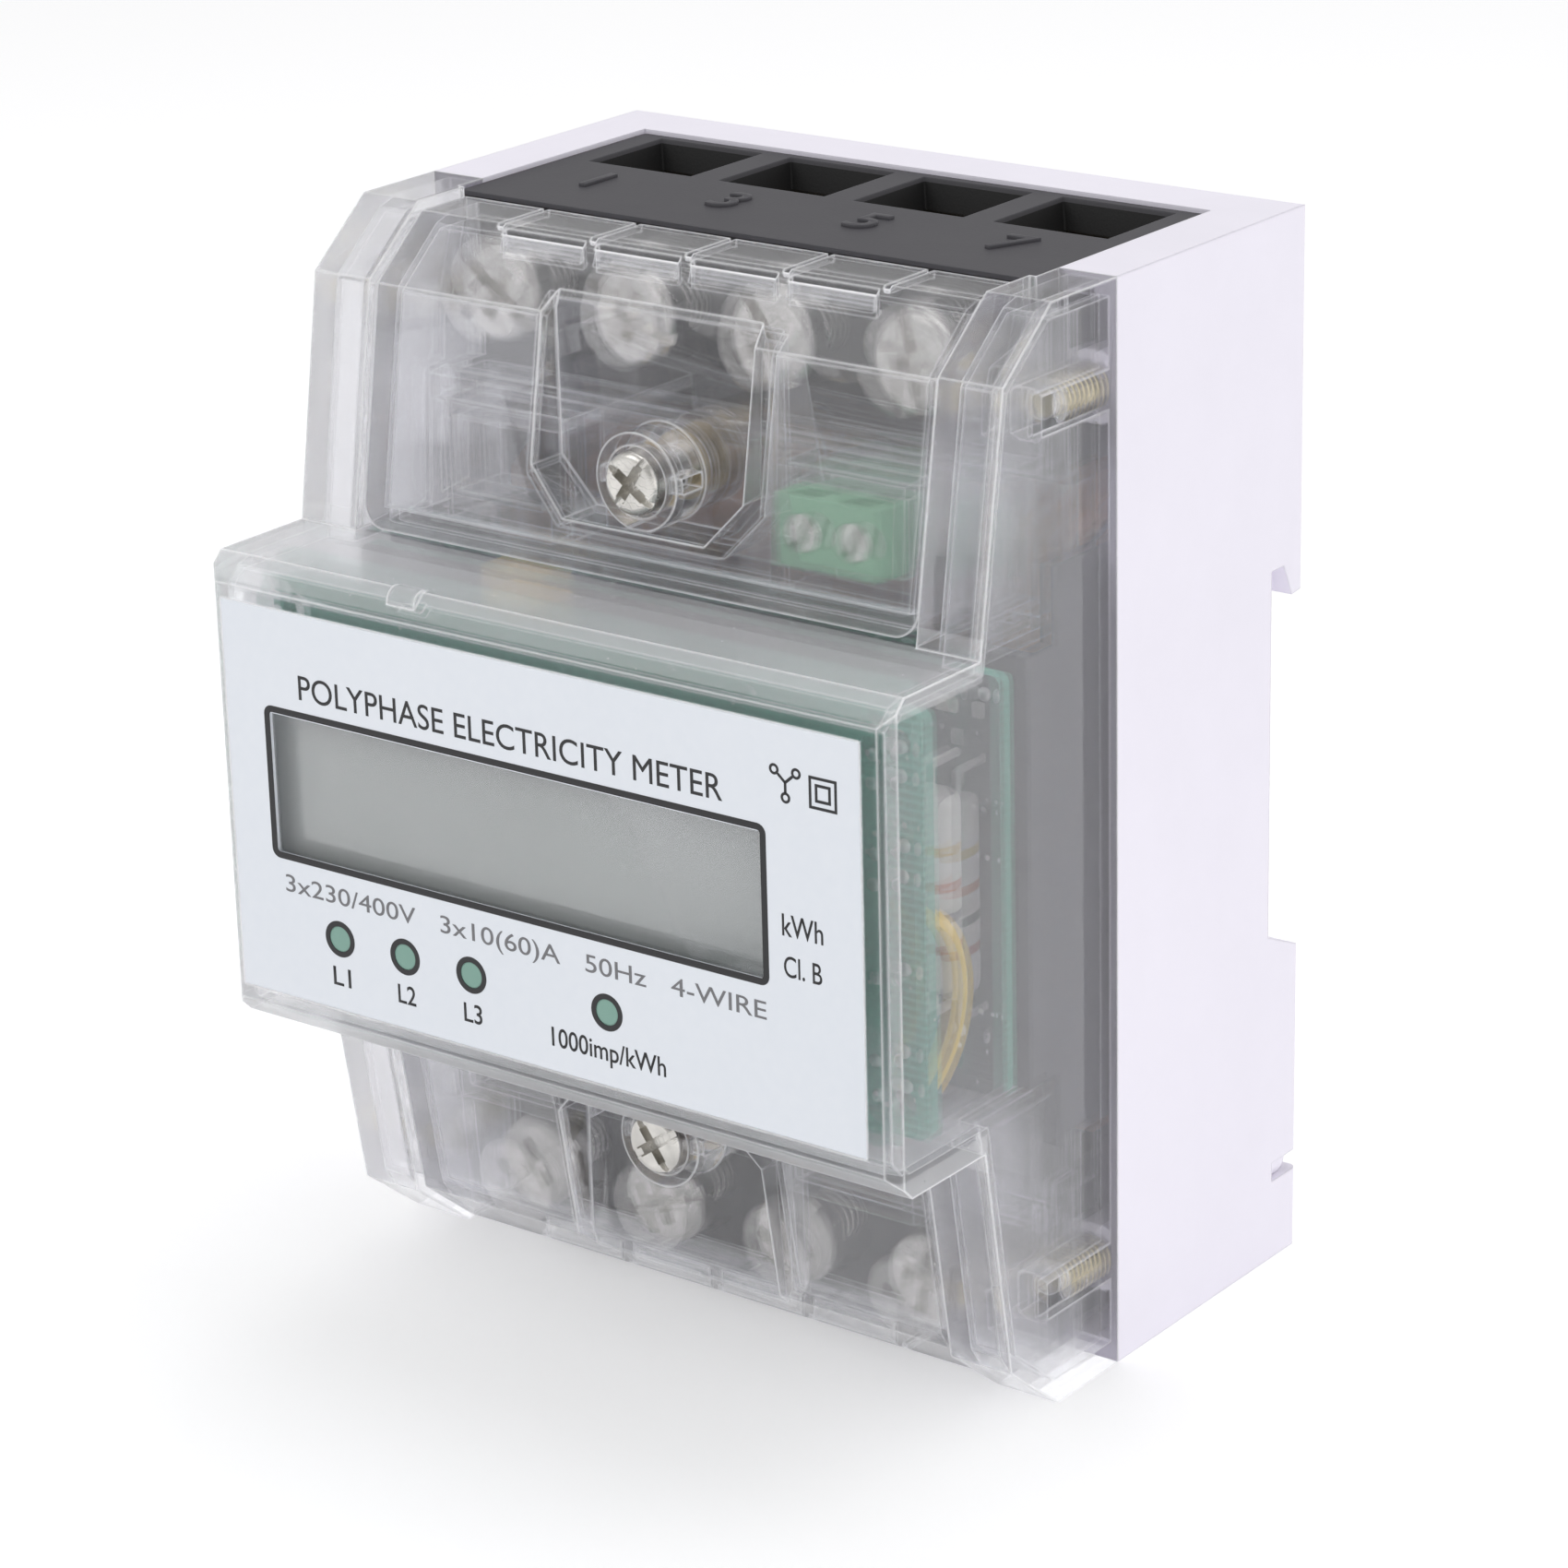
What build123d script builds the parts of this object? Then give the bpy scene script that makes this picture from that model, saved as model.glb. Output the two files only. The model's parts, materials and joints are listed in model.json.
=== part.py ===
from build123d import *
import os

# Four-module DIN rail energy meter. Millimetres. +X is right seen from the front, the display
# faces -Y, the rail is at +Y and the meter stands on z = 0.

# ---- driving dimensions -------------------------------------------------------------------
WIDTH = 76.0
HEIGHT = 102.0
DEPTH = 65.0
BACK = DEPTH / 2
FRONT = -DEPTH / 2
SEAM = 1.5                      # joint plane between the clear case and the white base
MID = HEIGHT / 2                # upper and lower halves mirror about this height
EDGE = 0.8                      # soft moulded edge

# rail slot
RAIL_FACE = 26.9                # face that bears on the rail
SLOT_LOW, SLOT_HIGH = 33.3, 69.0
HOOK_LOW = 66.1
LIP_BACK = 30.4

# white base
BASE_WALL = 2.0
BASE_BACK_WALL = 2.4

# clear case: outline of one half, as (depth, height) from the top edge to the display
CASE_WALL = 1.8
TOP_EDGE = -8.4
CHAMFER_END = (-15.6, 96.2)
DISPLAY_TOP = 73.5
CHEEK_FOOT = -19.3
BEVEL = 2.3                     # bevel round the display box
CHEEK_IN = 31.4                 # inner face of each cheek
CHEEK_WALL = 1.6

# terminals
PITCH = 15.4
TERMINAL_X = [PITCH * (i - 1.5) for i in range(4)]
BLOCK_HALF = 32.0
BLOCK_FRONT, BLOCK_BACK = -1.9, 25.5
BLOCK_LOW = 84.0
BLOCK_TOP = 101.6
FUNNEL = (12.2, 11.1)           # wire funnel at the mouth
THROAT = (9.0, 7.5)             # wire funnel at its bottom
FUNNEL_Y = 18.95
FUNNEL_DEEP = 5.0
SCREW_Z = 94.0
SHANK_R = 2.5
RUNNING = 0.05                  # radial running clearance
HEAD_R, HEAD_THICK = 4.5, 2.4
HEAD_FRONT = -7.3
SLOT_HALF, SLOT_DEEP = 0.6, 0.9
CROSS_REACH, CROSS_HALF, CROSS_DEEP = 2.5, 0.65, 1.7

# seal screws
SEAL_Z = 82.5
SEAL_HEAD_TALL = 2.6
SEAL_SHANK_R = 2.0
SEAL_HEAD_R = 2.9
BOSS_R = 4.5
BOSS_FRONT = -17.1
RECESS_FLOOR = -13.0
RECESS_SKIN = 1.2
WASHER = (BOSS_FRONT + 1.5, BOSS_FRONT + 2.05)

# case screws
POST_X, POST_Z = 34.5, 92.0
CASE_SCREW_R = 1.5
CASE_HEAD_R = 2.2


def block(x0, x1, y0, y1, z0, z1):
    """A box between two corners."""
    size = (x1 - x0, y1 - y0, z1 - z0)
    return Pos((x0 + x1) / 2, (y0 + y1) / 2, (z0 + z1) / 2) * Box(*size)


def rod(x, z, r, y0, y1):
    """A round bar along Y."""
    return Pos(x, (y0 + y1) / 2, z) * Rot(90, 0, 0) * Cylinder(r, abs(y1 - y0))


def upright(x, y, r, z0, z1):
    """A round bar along Z."""
    return Pos(x, y, (z0 + z1) / 2) * Cylinder(r, z1 - z0)


def side_face(points):
    """A flat face in the YZ plane from (y, z) corners."""
    return make_face(Polyline(*[(0, y, z) for y, z in points], close=True))


def slab(points, x0, x1):
    """The YZ outline swept along X from x0 to x1."""
    return Pos(x0, 0, 0) * extrude(side_face(points), x1 - x0, dir=(1, 0, 0))


def front_prism(points, y0, y1):
    """An XZ outline, as (x, z) corners, swept along Y from y0 to y1."""
    face = make_face(Polyline(*[(x, y0, z) for x, z in points], close=True))
    return extrude(face, y1 - y0, dir=(0, 1, 0))


def lower(shape):
    """The same shape in the lower half of the meter."""
    return mirror(shape, about=Plane.XY.offset(MID))


def both(shape):
    """The shape with its copy in the lower half."""
    return shape + lower(shape)


def four_corners(make):
    """A shape made at each of the four case screws."""
    places = [(sx * POST_X, z) for sx in (-1, 1) for z in (POST_Z, HEIGHT - POST_Z)]
    shape = make(*places[0])
    for place in places[1:]:
        shape = shape + make(*place)
    return shape


# ---- white base ---------------------------------------------------------------------------
CLIP_HALF = 13.0
FLANGE_HALF = 14.8
CLIP_GAP = 0.3
NOTCH = (8.0, 9.9)
NOTCH_DEEP = 4.5
BASE_BOSS_R = 3.3
SCREW_SEAT = 12.0
COUNTERBORE_R = 2.4
BLOCK_GAP = 0.1
SPRING_Y = 29.6
LUG_LOW, LUG_HIGH = 9.6, 12.0
LUG_HALF = 1.6
LEDGE_DEEP, LEDGE_THICK = 1.5, 2.0


def rail_slot():
    outline = [
        (RAIL_FACE, SLOT_LOW), (BACK + 1, LIP_BACK), (BACK + 1, HOOK_LOW + 0.2),
        (BACK - 2.1, HOOK_LOW - 0.2), (RAIL_FACE + 2.1, SLOT_HIGH), (RAIL_FACE, SLOT_HIGH),
    ]
    return slab(outline, -WIDTH / 2 - 1, WIDTH / 2 + 1)


def block_room():
    """The space that the upper terminal block takes, with a little room round it."""
    reach = BLOCK_HALF + BLOCK_GAP
    return block(-reach, reach, BLOCK_FRONT - BLOCK_GAP, BLOCK_BACK + BLOCK_GAP,
                 BLOCK_LOW - BLOCK_GAP, HEIGHT + 1)


def make_base():
    half = WIDTH / 2
    body = block(-half, half, SEAM, BACK, 0, HEIGHT)
    upright_edges = body.edges().filter_by(Axis.Z).group_by(Axis.Y)[-1]
    across_edges = body.edges().filter_by(Axis.X).group_by(Axis.Y)[-1]
    body = fillet(upright_edges + across_edges, EDGE)
    inner_back = RAIL_FACE - BASE_BACK_WALL
    body -= block(-half + BASE_WALL, half - BASE_WALL, SEAM - 1, inner_back,
                  BASE_WALL, HEIGHT - BASE_WALL)
    head_room = block(-half + BASE_WALL, half - BASE_WALL, SEAM - 1, BACK - BASE_WALL,
                      SLOT_HIGH + BASE_WALL, HEIGHT - BASE_WALL)
    body -= head_room
    body -= rail_slot()
    body -= block(-half - 1, half + 1, BACK - NOTCH_DEEP, BACK + 1, *NOTCH)
    # bosses for the case screws, with deep counterbores from the back
    reach = BACK - BASE_WALL
    body += four_corners(lambda x, z: rod(x, z, BASE_BOSS_R, SEAM, reach))
    body -= four_corners(lambda x, z: rod(x, z, CASE_SCREW_R + 0.2, SEAM - 1, BACK + 1))
    body -= four_corners(lambda x, z: rod(x, z, COUNTERBORE_R, SCREW_SEAT, BACK + 1))
    # track for the sliding clip: a narrow slot over a wider groove
    narrow = CLIP_HALF + CLIP_GAP
    wide = FLANGE_HALF + CLIP_GAP
    body -= block(-narrow, narrow, RAIL_FACE + 0.2, BACK + 1, -1, SLOT_LOW + 1)
    body -= block(-wide, wide, RAIL_FACE + 0.2, RAIL_FACE + 2.4, -1, SLOT_LOW + 1)
    body += block(-LUG_HALF, LUG_HALF, RAIL_FACE, BACK - 1.6, LUG_LOW, LUG_HIGH)
    # ledge under the upper terminal block
    ledge_top = BLOCK_LOW - 0.2
    body += block(-BLOCK_HALF, BLOCK_HALF, BLOCK_BACK - LEDGE_DEEP, BACK - BASE_WALL,
                  ledge_top - LEDGE_THICK, ledge_top)
    return body - both(block_room())


# ---- rail clip ----------------------------------------------------------------------------
CLIP_LOW = 3.6
CLIP_TOP = 36.2
WINDOW_LOW, WINDOW_HIGH = 9.0, 24.0
WINDOW_HALF = 2.4
GRIP_X, GRIP_HALF = 8.0, 3.4
GRIP_LOW, GRIP_PITCH, GRIP_COUNT = 26.0, 1.4, 5


def make_clip():
    back = BACK - 0.3
    flange_y = (RAIL_FACE + 0.5, RAIL_FACE + 2.1)
    clip = block(-FLANGE_HALF, FLANGE_HALF, *flange_y, CLIP_LOW, SLOT_LOW - 0.6)
    clip += block(-CLIP_HALF, CLIP_HALF, flange_y[0], back, CLIP_LOW, SLOT_LOW - 0.6)
    nose = [(RAIL_FACE + 2.2, SLOT_LOW - 1), (back, SLOT_LOW - 1), (back, SLOT_LOW + 0.2),
            (RAIL_FACE + 3.3, CLIP_TOP), (RAIL_FACE + 2.2, CLIP_TOP)]
    clip += slab(nose, -CLIP_HALF, CLIP_HALF)
    clip -= block(-WINDOW_HALF, WINDOW_HALF, RAIL_FACE, BACK + 1, WINDOW_LOW, WINDOW_HIGH)
    pull_slot = block(-4.0, 4.0, RAIL_FACE + 2.6, BACK + 1, CLIP_LOW + 1.2, CLIP_LOW + 3.4)
    clip -= pull_slot
    for x in (-GRIP_X, GRIP_X):
        for step in range(GRIP_COUNT):
            z = GRIP_LOW + GRIP_PITCH * step
            clip -= block(x - GRIP_HALF, x + GRIP_HALF, back - 0.5, BACK + 1,
                          z, z + GRIP_PITCH / 2)
    return clip


def make_spring():
    wire, coil, turns = 0.28, 1.35, 7
    low, high = LUG_HIGH + wire, WINDOW_HIGH - wire
    path = Helix(pitch=(high - low) / turns, height=high - low, radius=coil)
    section = Plane(origin=path @ 0, z_dir=path % 0) * Circle(wire)
    return Pos(0, SPRING_Y, low) * sweep(section, path)


# ---- terminal blocks ----------------------------------------------------------------------
CAGE_OUT, CAGE_IN = 5.8, 4.7
CAGE_Y = (9.5, 24.4)
CAGE_FRONT_WALL = 2.2
CAGE_HALF_Z = 4.6
CAGE_BACK_WALL = 1.1
CAGE_ROOM = 0.1


def make_block():
    body = block(-BLOCK_HALF, BLOCK_HALF, BLOCK_FRONT, BLOCK_BACK, BLOCK_LOW, BLOCK_TOP)
    body = fillet(body.edges().filter_by(Axis.Z), 0.5)
    room = CAGE_ROOM
    for x in TERMINAL_X:
        mouth = Pos(x, FUNNEL_Y, BLOCK_TOP) * Rectangle(*FUNNEL)
        throat = Pos(x, FUNNEL_Y, BLOCK_TOP - FUNNEL_DEEP) * Rectangle(*THROAT)
        body -= loft([throat, mouth])
        body -= block(x - THROAT[0] / 2, x + THROAT[0] / 2, FUNNEL_Y - THROAT[1] / 2,
                      FUNNEL_Y + THROAT[1] / 2, SCREW_Z, BLOCK_TOP - FUNNEL_DEEP)
        body -= block(x - CAGE_OUT - room, x + CAGE_OUT + room, CAGE_Y[0] - room,
                      CAGE_Y[1] + room, BLOCK_LOW - 1, SCREW_Z + CAGE_HALF_Z + room)
        body -= rod(x, SCREW_Z, SHANK_R + 0.3, BLOCK_FRONT - 1, CAGE_Y[0] + 1)
        body -= rod(x, SCREW_Z, HEAD_R + 0.4, BLOCK_FRONT - 1, BLOCK_FRONT + 2.5)
    return body


def make_cage(x):
    """Square brass cage round one chamber, with the threaded wall at the front."""
    low, high = SCREW_Z - CAGE_HALF_Z, SCREW_Z + CAGE_HALF_Z
    cage = block(x - CAGE_OUT, x + CAGE_OUT, *CAGE_Y, low, high)
    cage -= block(x - CAGE_IN, x + CAGE_IN, CAGE_Y[0] + CAGE_FRONT_WALL,
                  CAGE_Y[1] - CAGE_BACK_WALL, low - 1, high + 1)
    return cage - rod(x, SCREW_Z, SHANK_R + RUNNING, CAGE_Y[0] - 1, CAGE_Y[0] + 3)


PLATE_FRONT = 13.4
PLATE_THICK = 1.6
PLATE_HALF = 4.3
GROOVE_PITCH, GROOVE_HALF, GROOVE_DEEP = 2.2, 0.4, 0.3


def make_plate(x):
    """Clamping plate that the screw pushes against the wire."""
    half, back = PLATE_HALF, PLATE_FRONT + PLATE_THICK
    plate = block(x - half, x + half, PLATE_FRONT, back,
                  SCREW_Z - half, SCREW_Z + half)
    for step in (-1, 0, 1):
        groove_z = SCREW_Z + GROOVE_PITCH * step
        plate -= block(x - half - 1, x + half + 1, back - GROOVE_DEEP, back + 1,
                       groove_z - GROOVE_HALF, groove_z + GROOVE_HALF)
    return plate


def make_terminal_screw(x, turn):
    """Pan head with a cross recess and a through slot."""
    back = HEAD_FRONT + HEAD_THICK
    head = rod(x, SCREW_Z, HEAD_R, HEAD_FRONT, back)
    head = fillet(head.edges().group_by(Axis.Y)[0], 0.9)
    shank = rod(x, SCREW_Z, SHANK_R, back, PLATE_FRONT - 0.15)
    screw = head + shank
    spot = Pos(x, 0, SCREW_Z) * Rot(0, turn, 0)
    front = HEAD_FRONT - 1
    cuts = block(-HEAD_R - 0.1, HEAD_R + 0.1, front, HEAD_FRONT + SLOT_DEEP,
                 -SLOT_HALF, SLOT_HALF)
    for cross in (0, 90):
        arm = block(-CROSS_REACH, CROSS_REACH, front, HEAD_FRONT + CROSS_DEEP,
                    -CROSS_HALF, CROSS_HALF)
        cuts = cuts + Rot(0, cross, 0) * arm
    return screw - spot * cuts


# ---- clear case ---------------------------------------------------------------------------
STEP_FRONT, STEP_BACK, STEP_TOP = -6.5, -2.2, 86.0
STEP_HALF = 29.2
STEP_SKIN = 1.5
POCKET_FRONT = -11.5
POCKET_X = (12.2, 26.4)
POCKET_TOP = 85.0
POCKET_SKIN = 1.2
POCKET_LOW_IN = 76.4
POST_R = 2.4
POST_FRONT = -8.7
PILLAR_R = 4.2
PILLAR_FRONT = -10.6
INSERT_R = 3.2
FACE_CHAMFER = 1.2              # front corners of the display box
NUB_X, NUB_R, NUB_LONG = -15.5, 1.3, 3.2
NUB_TOP = DISPLAY_TOP + 0.2


def case_outline():
    upper = [(SEAM, HEIGHT), (TOP_EDGE, HEIGHT), CHAMFER_END, (CHEEK_FOOT, DISPLAY_TOP),
             (FRONT + BEVEL, DISPLAY_TOP), (FRONT, DISPLAY_TOP - BEVEL)]
    return upper + [(y, HEIGHT - z) for y, z in reversed(upper)]


def case_inside():
    """The outline moved in by the wall, and open at the seam."""
    skin = offset(side_face(case_outline()), -CASE_WALL, kind=Kind.INTERSECTION)
    reach = WIDTH / 2 - CASE_WALL
    hollow = Pos(-reach, 0, 0) * extrude(skin, 2 * reach, dir=(1, 0, 0))
    doorway = block(-reach, reach, SEAM - CASE_WALL - 0.1, SEAM + 1,
                    CASE_WALL, HEIGHT - CASE_WALL)
    return hollow + doorway


def upper_bay_solid():
    """Everything between the cheeks above the display box."""
    inner = CHEEK_IN + CHEEK_WALL
    keep = block(-inner, inner, FRONT - 1, SEAM + 2, DISPLAY_TOP - CASE_WALL, HEIGHT + 1)
    return keep


def step_parts():
    """Returns what is added and what is cut to make the step, its pockets and the pillar."""
    add = block(-STEP_HALF, STEP_HALF, STEP_FRONT, STEP_BACK, DISPLAY_TOP - 0.5, STEP_TOP)
    inner = STEP_HALF - CASE_WALL
    cut = block(-inner, inner, STEP_FRONT + STEP_SKIN, STEP_BACK + 4,
                DISPLAY_TOP - CASE_WALL - 0.5, STEP_TOP - STEP_SKIN)
    for side in (-1, 1):
        x0, x1 = sorted((side * POCKET_X[0], side * POCKET_X[1]))
        add += block(x0, x1, POCKET_FRONT, STEP_FRONT + 1, DISPLAY_TOP - 0.5, POCKET_TOP)
        cut += block(x0 + POCKET_SKIN, x1 - POCKET_SKIN, POCKET_FRONT - 1, STEP_FRONT + 2,
                     POCKET_LOW_IN, POCKET_TOP - STEP_SKIN)
    add += rod(0, SEAL_Z, PILLAR_R, PILLAR_FRONT, STEP_FRONT + 1)
    cut += rod(0, SEAL_Z, INSERT_R, PILLAR_FRONT - 1, STEP_FRONT + 2)
    return add, cut


def make_case():
    half = WIDTH / 2
    shell = slab(case_outline(), -half, half)
    front_edges = shell.edges().group_by(Axis.Y)[0].filter_by(Axis.Z)
    shell = chamfer(front_edges, FACE_CHAMFER)
    hollow = case_inside()
    hollow = hollow - both(upper_bay_solid())
    hollow = hollow & block(-half, half, FRONT - 1, SEAM + 2, 0, HEIGHT)
    shell = shell - hollow
    bay = block(-CHEEK_IN, CHEEK_IN, FRONT - 5, SEAM + 1, DISPLAY_TOP, HEIGHT + 1)
    shell -= both(bay)
    # way through from the display box to the terminals, behind the step
    passage = block(-CHEEK_IN, CHEEK_IN, STEP_BACK, SEAM + 1, DISPLAY_TOP - 4, DISPLAY_TOP + 1)
    shell -= both(passage + block_room())
    add, cut = step_parts()
    shell += both(add)
    shell -= both(cut)
    shell += four_corners(lambda x, z: rod(x, z, POST_R, POST_FRONT, SEAM))
    shell -= four_corners(lambda x, z: rod(x, z, CASE_SCREW_R + RUNNING, -5.0, SEAM + 1))
    # shallow seat for the label on the display face
    shell -= label_plate(0.05, FRONT - 1)
    # small locating nub on the top front edge of the display box
    nub_centre = Pos(NUB_X, FRONT + BEVEL, NUB_TOP - NUB_R)
    nub = nub_centre * Rot(0, 90, 0) * Cylinder(NUB_R, NUB_LONG)
    return shell + nub


# ---- label and display --------------------------------------------------------------------
LABEL_X = (-36.2, 34.9)
LABEL_Z = (32.3, 69.7)
LABEL_THICK = 0.4
LCD_X = (-31.1, 24.5)
LCD_Z = (46.3, 59.8)
LED_X = (-24.0, -16.2, -8.4, 7.1)
LED_Z = 39.3
LED_HOLE_R = 1.25


def label_plate(room=0.0, front=FRONT):
    plate = block(LABEL_X[0] - room, LABEL_X[1] + room, front, FRONT + LABEL_THICK,
                  LABEL_Z[0] - room, LABEL_Z[1] + room)
    return plate


def make_label():
    plate = label_plate()
    plate -= block(*LCD_X, FRONT - 1, FRONT + 1, *LCD_Z)
    for x in LED_X:
        plate -= rod(x, LED_Z, LED_HOLE_R, FRONT - 1, FRONT + 1)
    return plate


LCD_FRONT, LCD_THICK = -30.2, 2.8
LCD_RIM = 1.6
LED_R, LED_TALL = 1.5, 2.6
BOARD_HOLE_R, BOARD_HOLE_IN = 1.3, 3.0
PIN_Z, PIN_PITCH, PIN_COUNT, PIN_HALF = 34.6, 2.54, 10, 0.32
HEADER_HALF, HEADER_TALL = 1.25, 2.6
DISPLAY_PCB = (-25.6, -24.0)
MAIN_PCB = (-14.3, -12.7)
PCB_HALF = 35.4
PCB_Z = (31.6, 70.4)


def make_lcd():
    """Glass cell in a shallow frame."""
    x0, x1 = LCD_X[0] - LCD_RIM, LCD_X[1] + LCD_RIM
    z0, z1 = LCD_Z[0] - LCD_RIM, LCD_Z[1] + LCD_RIM
    cell = block(x0, x1, LCD_FRONT, LCD_FRONT + LCD_THICK, z0, z1)
    back_light = block(x0 + 1, x1 - 1, LCD_FRONT + LCD_THICK, DISPLAY_PCB[0], z0 + 1, z1 - 1)
    return cell + back_light


def make_pcb(span, notch_x):
    board = block(-PCB_HALF, PCB_HALF, *span, *PCB_Z)
    board = fillet(board.edges().filter_by(Axis.Y), 1.0)
    for x in (-notch_x, notch_x):
        for z in (PCB_Z[0] + BOARD_HOLE_IN, PCB_Z[1] - BOARD_HOLE_IN):
            board -= rod(x, z, BOARD_HOLE_R, span[0] - 1, span[1] + 1)
    return board


def make_leds():
    back = DISPLAY_PCB[0]
    tip = back - LED_TALL
    lamps = Part()
    for x in LED_X:
        lamps += rod(x, LED_Z, LED_R, tip, back) + Pos(x, tip, LED_Z) * Sphere(LED_R)
    return lamps


def make_header_strip():
    """Row of pins that joins the two boards."""
    gap = (DISPLAY_PCB[1], MAIN_PCB[0])
    first = -PIN_PITCH * (PIN_COUNT - 1) / 2
    strip = block(first - HEADER_HALF, -first + HEADER_HALF, gap[1] - HEADER_TALL, gap[1],
                  PIN_Z - HEADER_HALF, PIN_Z + HEADER_HALF)
    for i in range(PIN_COUNT):
        x = first + PIN_PITCH * i
        strip += block(x - PIN_HALF, x + PIN_HALF, *gap, PIN_Z - PIN_HALF, PIN_Z + PIN_HALF)
    return strip


RESISTOR = (31.0, -18.2)
RESISTOR_Z = (42.5, 60.5)
RESISTOR_R, LEAD_R, LEAD_OUT = 2.5, 0.4, 2.4
WIRE_X, WIRE_Z, WIRE_BOW, WIRE_R = 34.6, (36.0, 52.0), 4.6, 0.65
CAPACITOR_X, CAPACITOR_Z = (-16.9, -10.1), (58.5, 70.0)
CAPACITOR_TALL = 5.2


def make_resistor():
    x, y = RESISTOR
    low, high = RESISTOR_Z
    body = fillet(upright(x, y, RESISTOR_R, low, high).edges(), 0.9)
    for end, way in ((low, -1), (high, 1)):
        tip = end + way * LEAD_OUT
        body += upright(x, y, LEAD_R, min(end, tip) - 0.3, max(end, tip) + 0.3)
        body += rod(x, tip, LEAD_R, y, MAIN_PCB[0])
    return body


def make_wire_loop():
    """Bowed jumper wire that leaves the display board and comes back to it."""
    x, start = WIRE_X, DISPLAY_PCB[1]
    bottom, top = WIRE_Z
    path = ThreePointArc((x, start, top), (x, start + WIRE_BOW, (top + bottom) / 2),
                         (x, start, bottom))
    section = Plane(origin=path @ 0, z_dir=path % 0) * Circle(WIRE_R)
    wire = sweep(section, path)
    return wire & block(x - 2, x + 2, start, start + 8, bottom - 2, top + 2)


def make_capacitor():
    body = block(*CAPACITOR_X, MAIN_PCB[0] - CAPACITOR_TALL, MAIN_PCB[0], *CAPACITOR_Z)
    return fillet(body.edges().group_by(Axis.Y)[0], 1.0)


# ---- inside the base ----------------------------------------------------------------------
BAR_Y = 10.0
BAR_THICK = 1.2
BAR_HALF = 4.3
SENSOR = (13.0, 11.0, 12.0)
SHELF_Z = (43.4, 45.0)
FRAME_X = 35.4
FRAME_FRONT, FRAME_BACK, FRAME_WALL = -10.2, 20.0, 1.4
FRAME_Z = (31.0, 71.0)
WING_FRONT, WING_Z = -6.0, (24.0, 78.0)
BAR_ROOM = 0.3


def bar_slot(x):
    """Room round one copper bar, from the shelf up through the sensor."""
    top = SHELF_Z[1] + SENSOR[2] + 1
    wide, deep = BAR_HALF + BAR_ROOM, BAR_THICK / 2 + BAR_ROOM
    return block(x - wide, x + wide, BAR_Y - deep, BAR_Y + deep, SHELF_Z[0] - 1, top)


def make_frame():
    """Dark inner frame: two side walls, a front wall behind the main board and a shelf."""
    inner_front = FRAME_FRONT + FRAME_WALL
    frame = block(-FRAME_X, FRAME_X, FRAME_FRONT, inner_front, *FRAME_Z)
    for side in (-1, 1):
        x0, x1 = sorted((side * FRAME_X, side * (FRAME_X - FRAME_WALL)))
        frame += block(x0, x1, FRAME_FRONT, FRAME_BACK, *FRAME_Z)
        frame += block(x0, x1, WING_FRONT, FRAME_BACK, *WING_Z)
    frame += block(-FRAME_X, FRAME_X, inner_front, FRAME_BACK - 2, *SHELF_Z)
    for x in TERMINAL_X:
        frame -= bar_slot(x)
    return frame


def make_sensor(x):
    wide, deep, high = SENSOR
    body = block(x - wide / 2, x + wide / 2, BAR_Y - deep / 2, BAR_Y + deep / 2,
                 SHELF_Z[1], SHELF_Z[1] + high)
    body = fillet(body.edges().filter_by(Axis.Z), 1.5)
    return body - bar_slot(x)


def make_bar(x):
    """Copper bar from the upper chamber to the lower one."""
    back = CAGE_Y[1] - CAGE_BACK_WALL - BAR_THICK / 2 - CAGE_ROOM
    points = [(back, SCREW_Z + 3.5), (back, BLOCK_LOW - 5.5), (BAR_Y, BLOCK_LOW - 10.0)]
    points += [(y, HEIGHT - z) for y, z in reversed(points)]
    half = BAR_THICK / 2
    front = [(y - half, z) for y, z in points]
    rear = [(y + half, z) for y, z in reversed(points)]
    return slab(front + rear, x - BAR_HALF, x + BAR_HALF)


# ---- clear covers -------------------------------------------------------------------------
COVER_HALF = 31.0
COVER_WALL = 1.6
COVER_BACK = -2.3
COVER_TOP = 101.2
COVER_LOW = 73.8
SET_BACK = 0.6                  # the cover lies this far behind the cheeks
TAB_PITCH = 10.7
LIP_DEEP = 3.2
LIP_TALL = 3.0
CORNER_R = 2.4
WIRE_WINDOW_Y = (-16.2, -13.4)  # windows for the sealing wire
WIRE_WINDOW_HALF = 0.7
SCORE_HALF, SCORE_DEEP = 0.3, 0.7
TAB_SLOT_IN, TAB_SLOT_DEEP = 0.7, 3.0
RECESS = [(-10.6, 99.6), (10.6, 99.6), (11.8, 95.8), (11.8, 82.3), (7.9, 78.1),
          (-7.9, 78.1), (-11.8, 82.3), (-11.8, 95.8)]


def cover_outline():
    front_low = CHEEK_FOOT + SET_BACK
    return [(COVER_BACK, COVER_TOP), (TOP_EDGE - 0.1, COVER_TOP),
            (CHAMFER_END[0] + SET_BACK, CHAMFER_END[1] - 0.4),
            (front_low, COVER_LOW), (COVER_BACK, COVER_LOW)]


def recess_prism(grow, y1):
    """The octagonal recess, grown outwards, from in front of the cover back to y1."""
    middle_z = 89.0
    points = []
    for x, z in RECESS:
        points.append((x + (grow if x > 0 else -grow), z + (grow if z > middle_z else -grow)))
    return front_prism(points, FRONT, y1)


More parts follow.
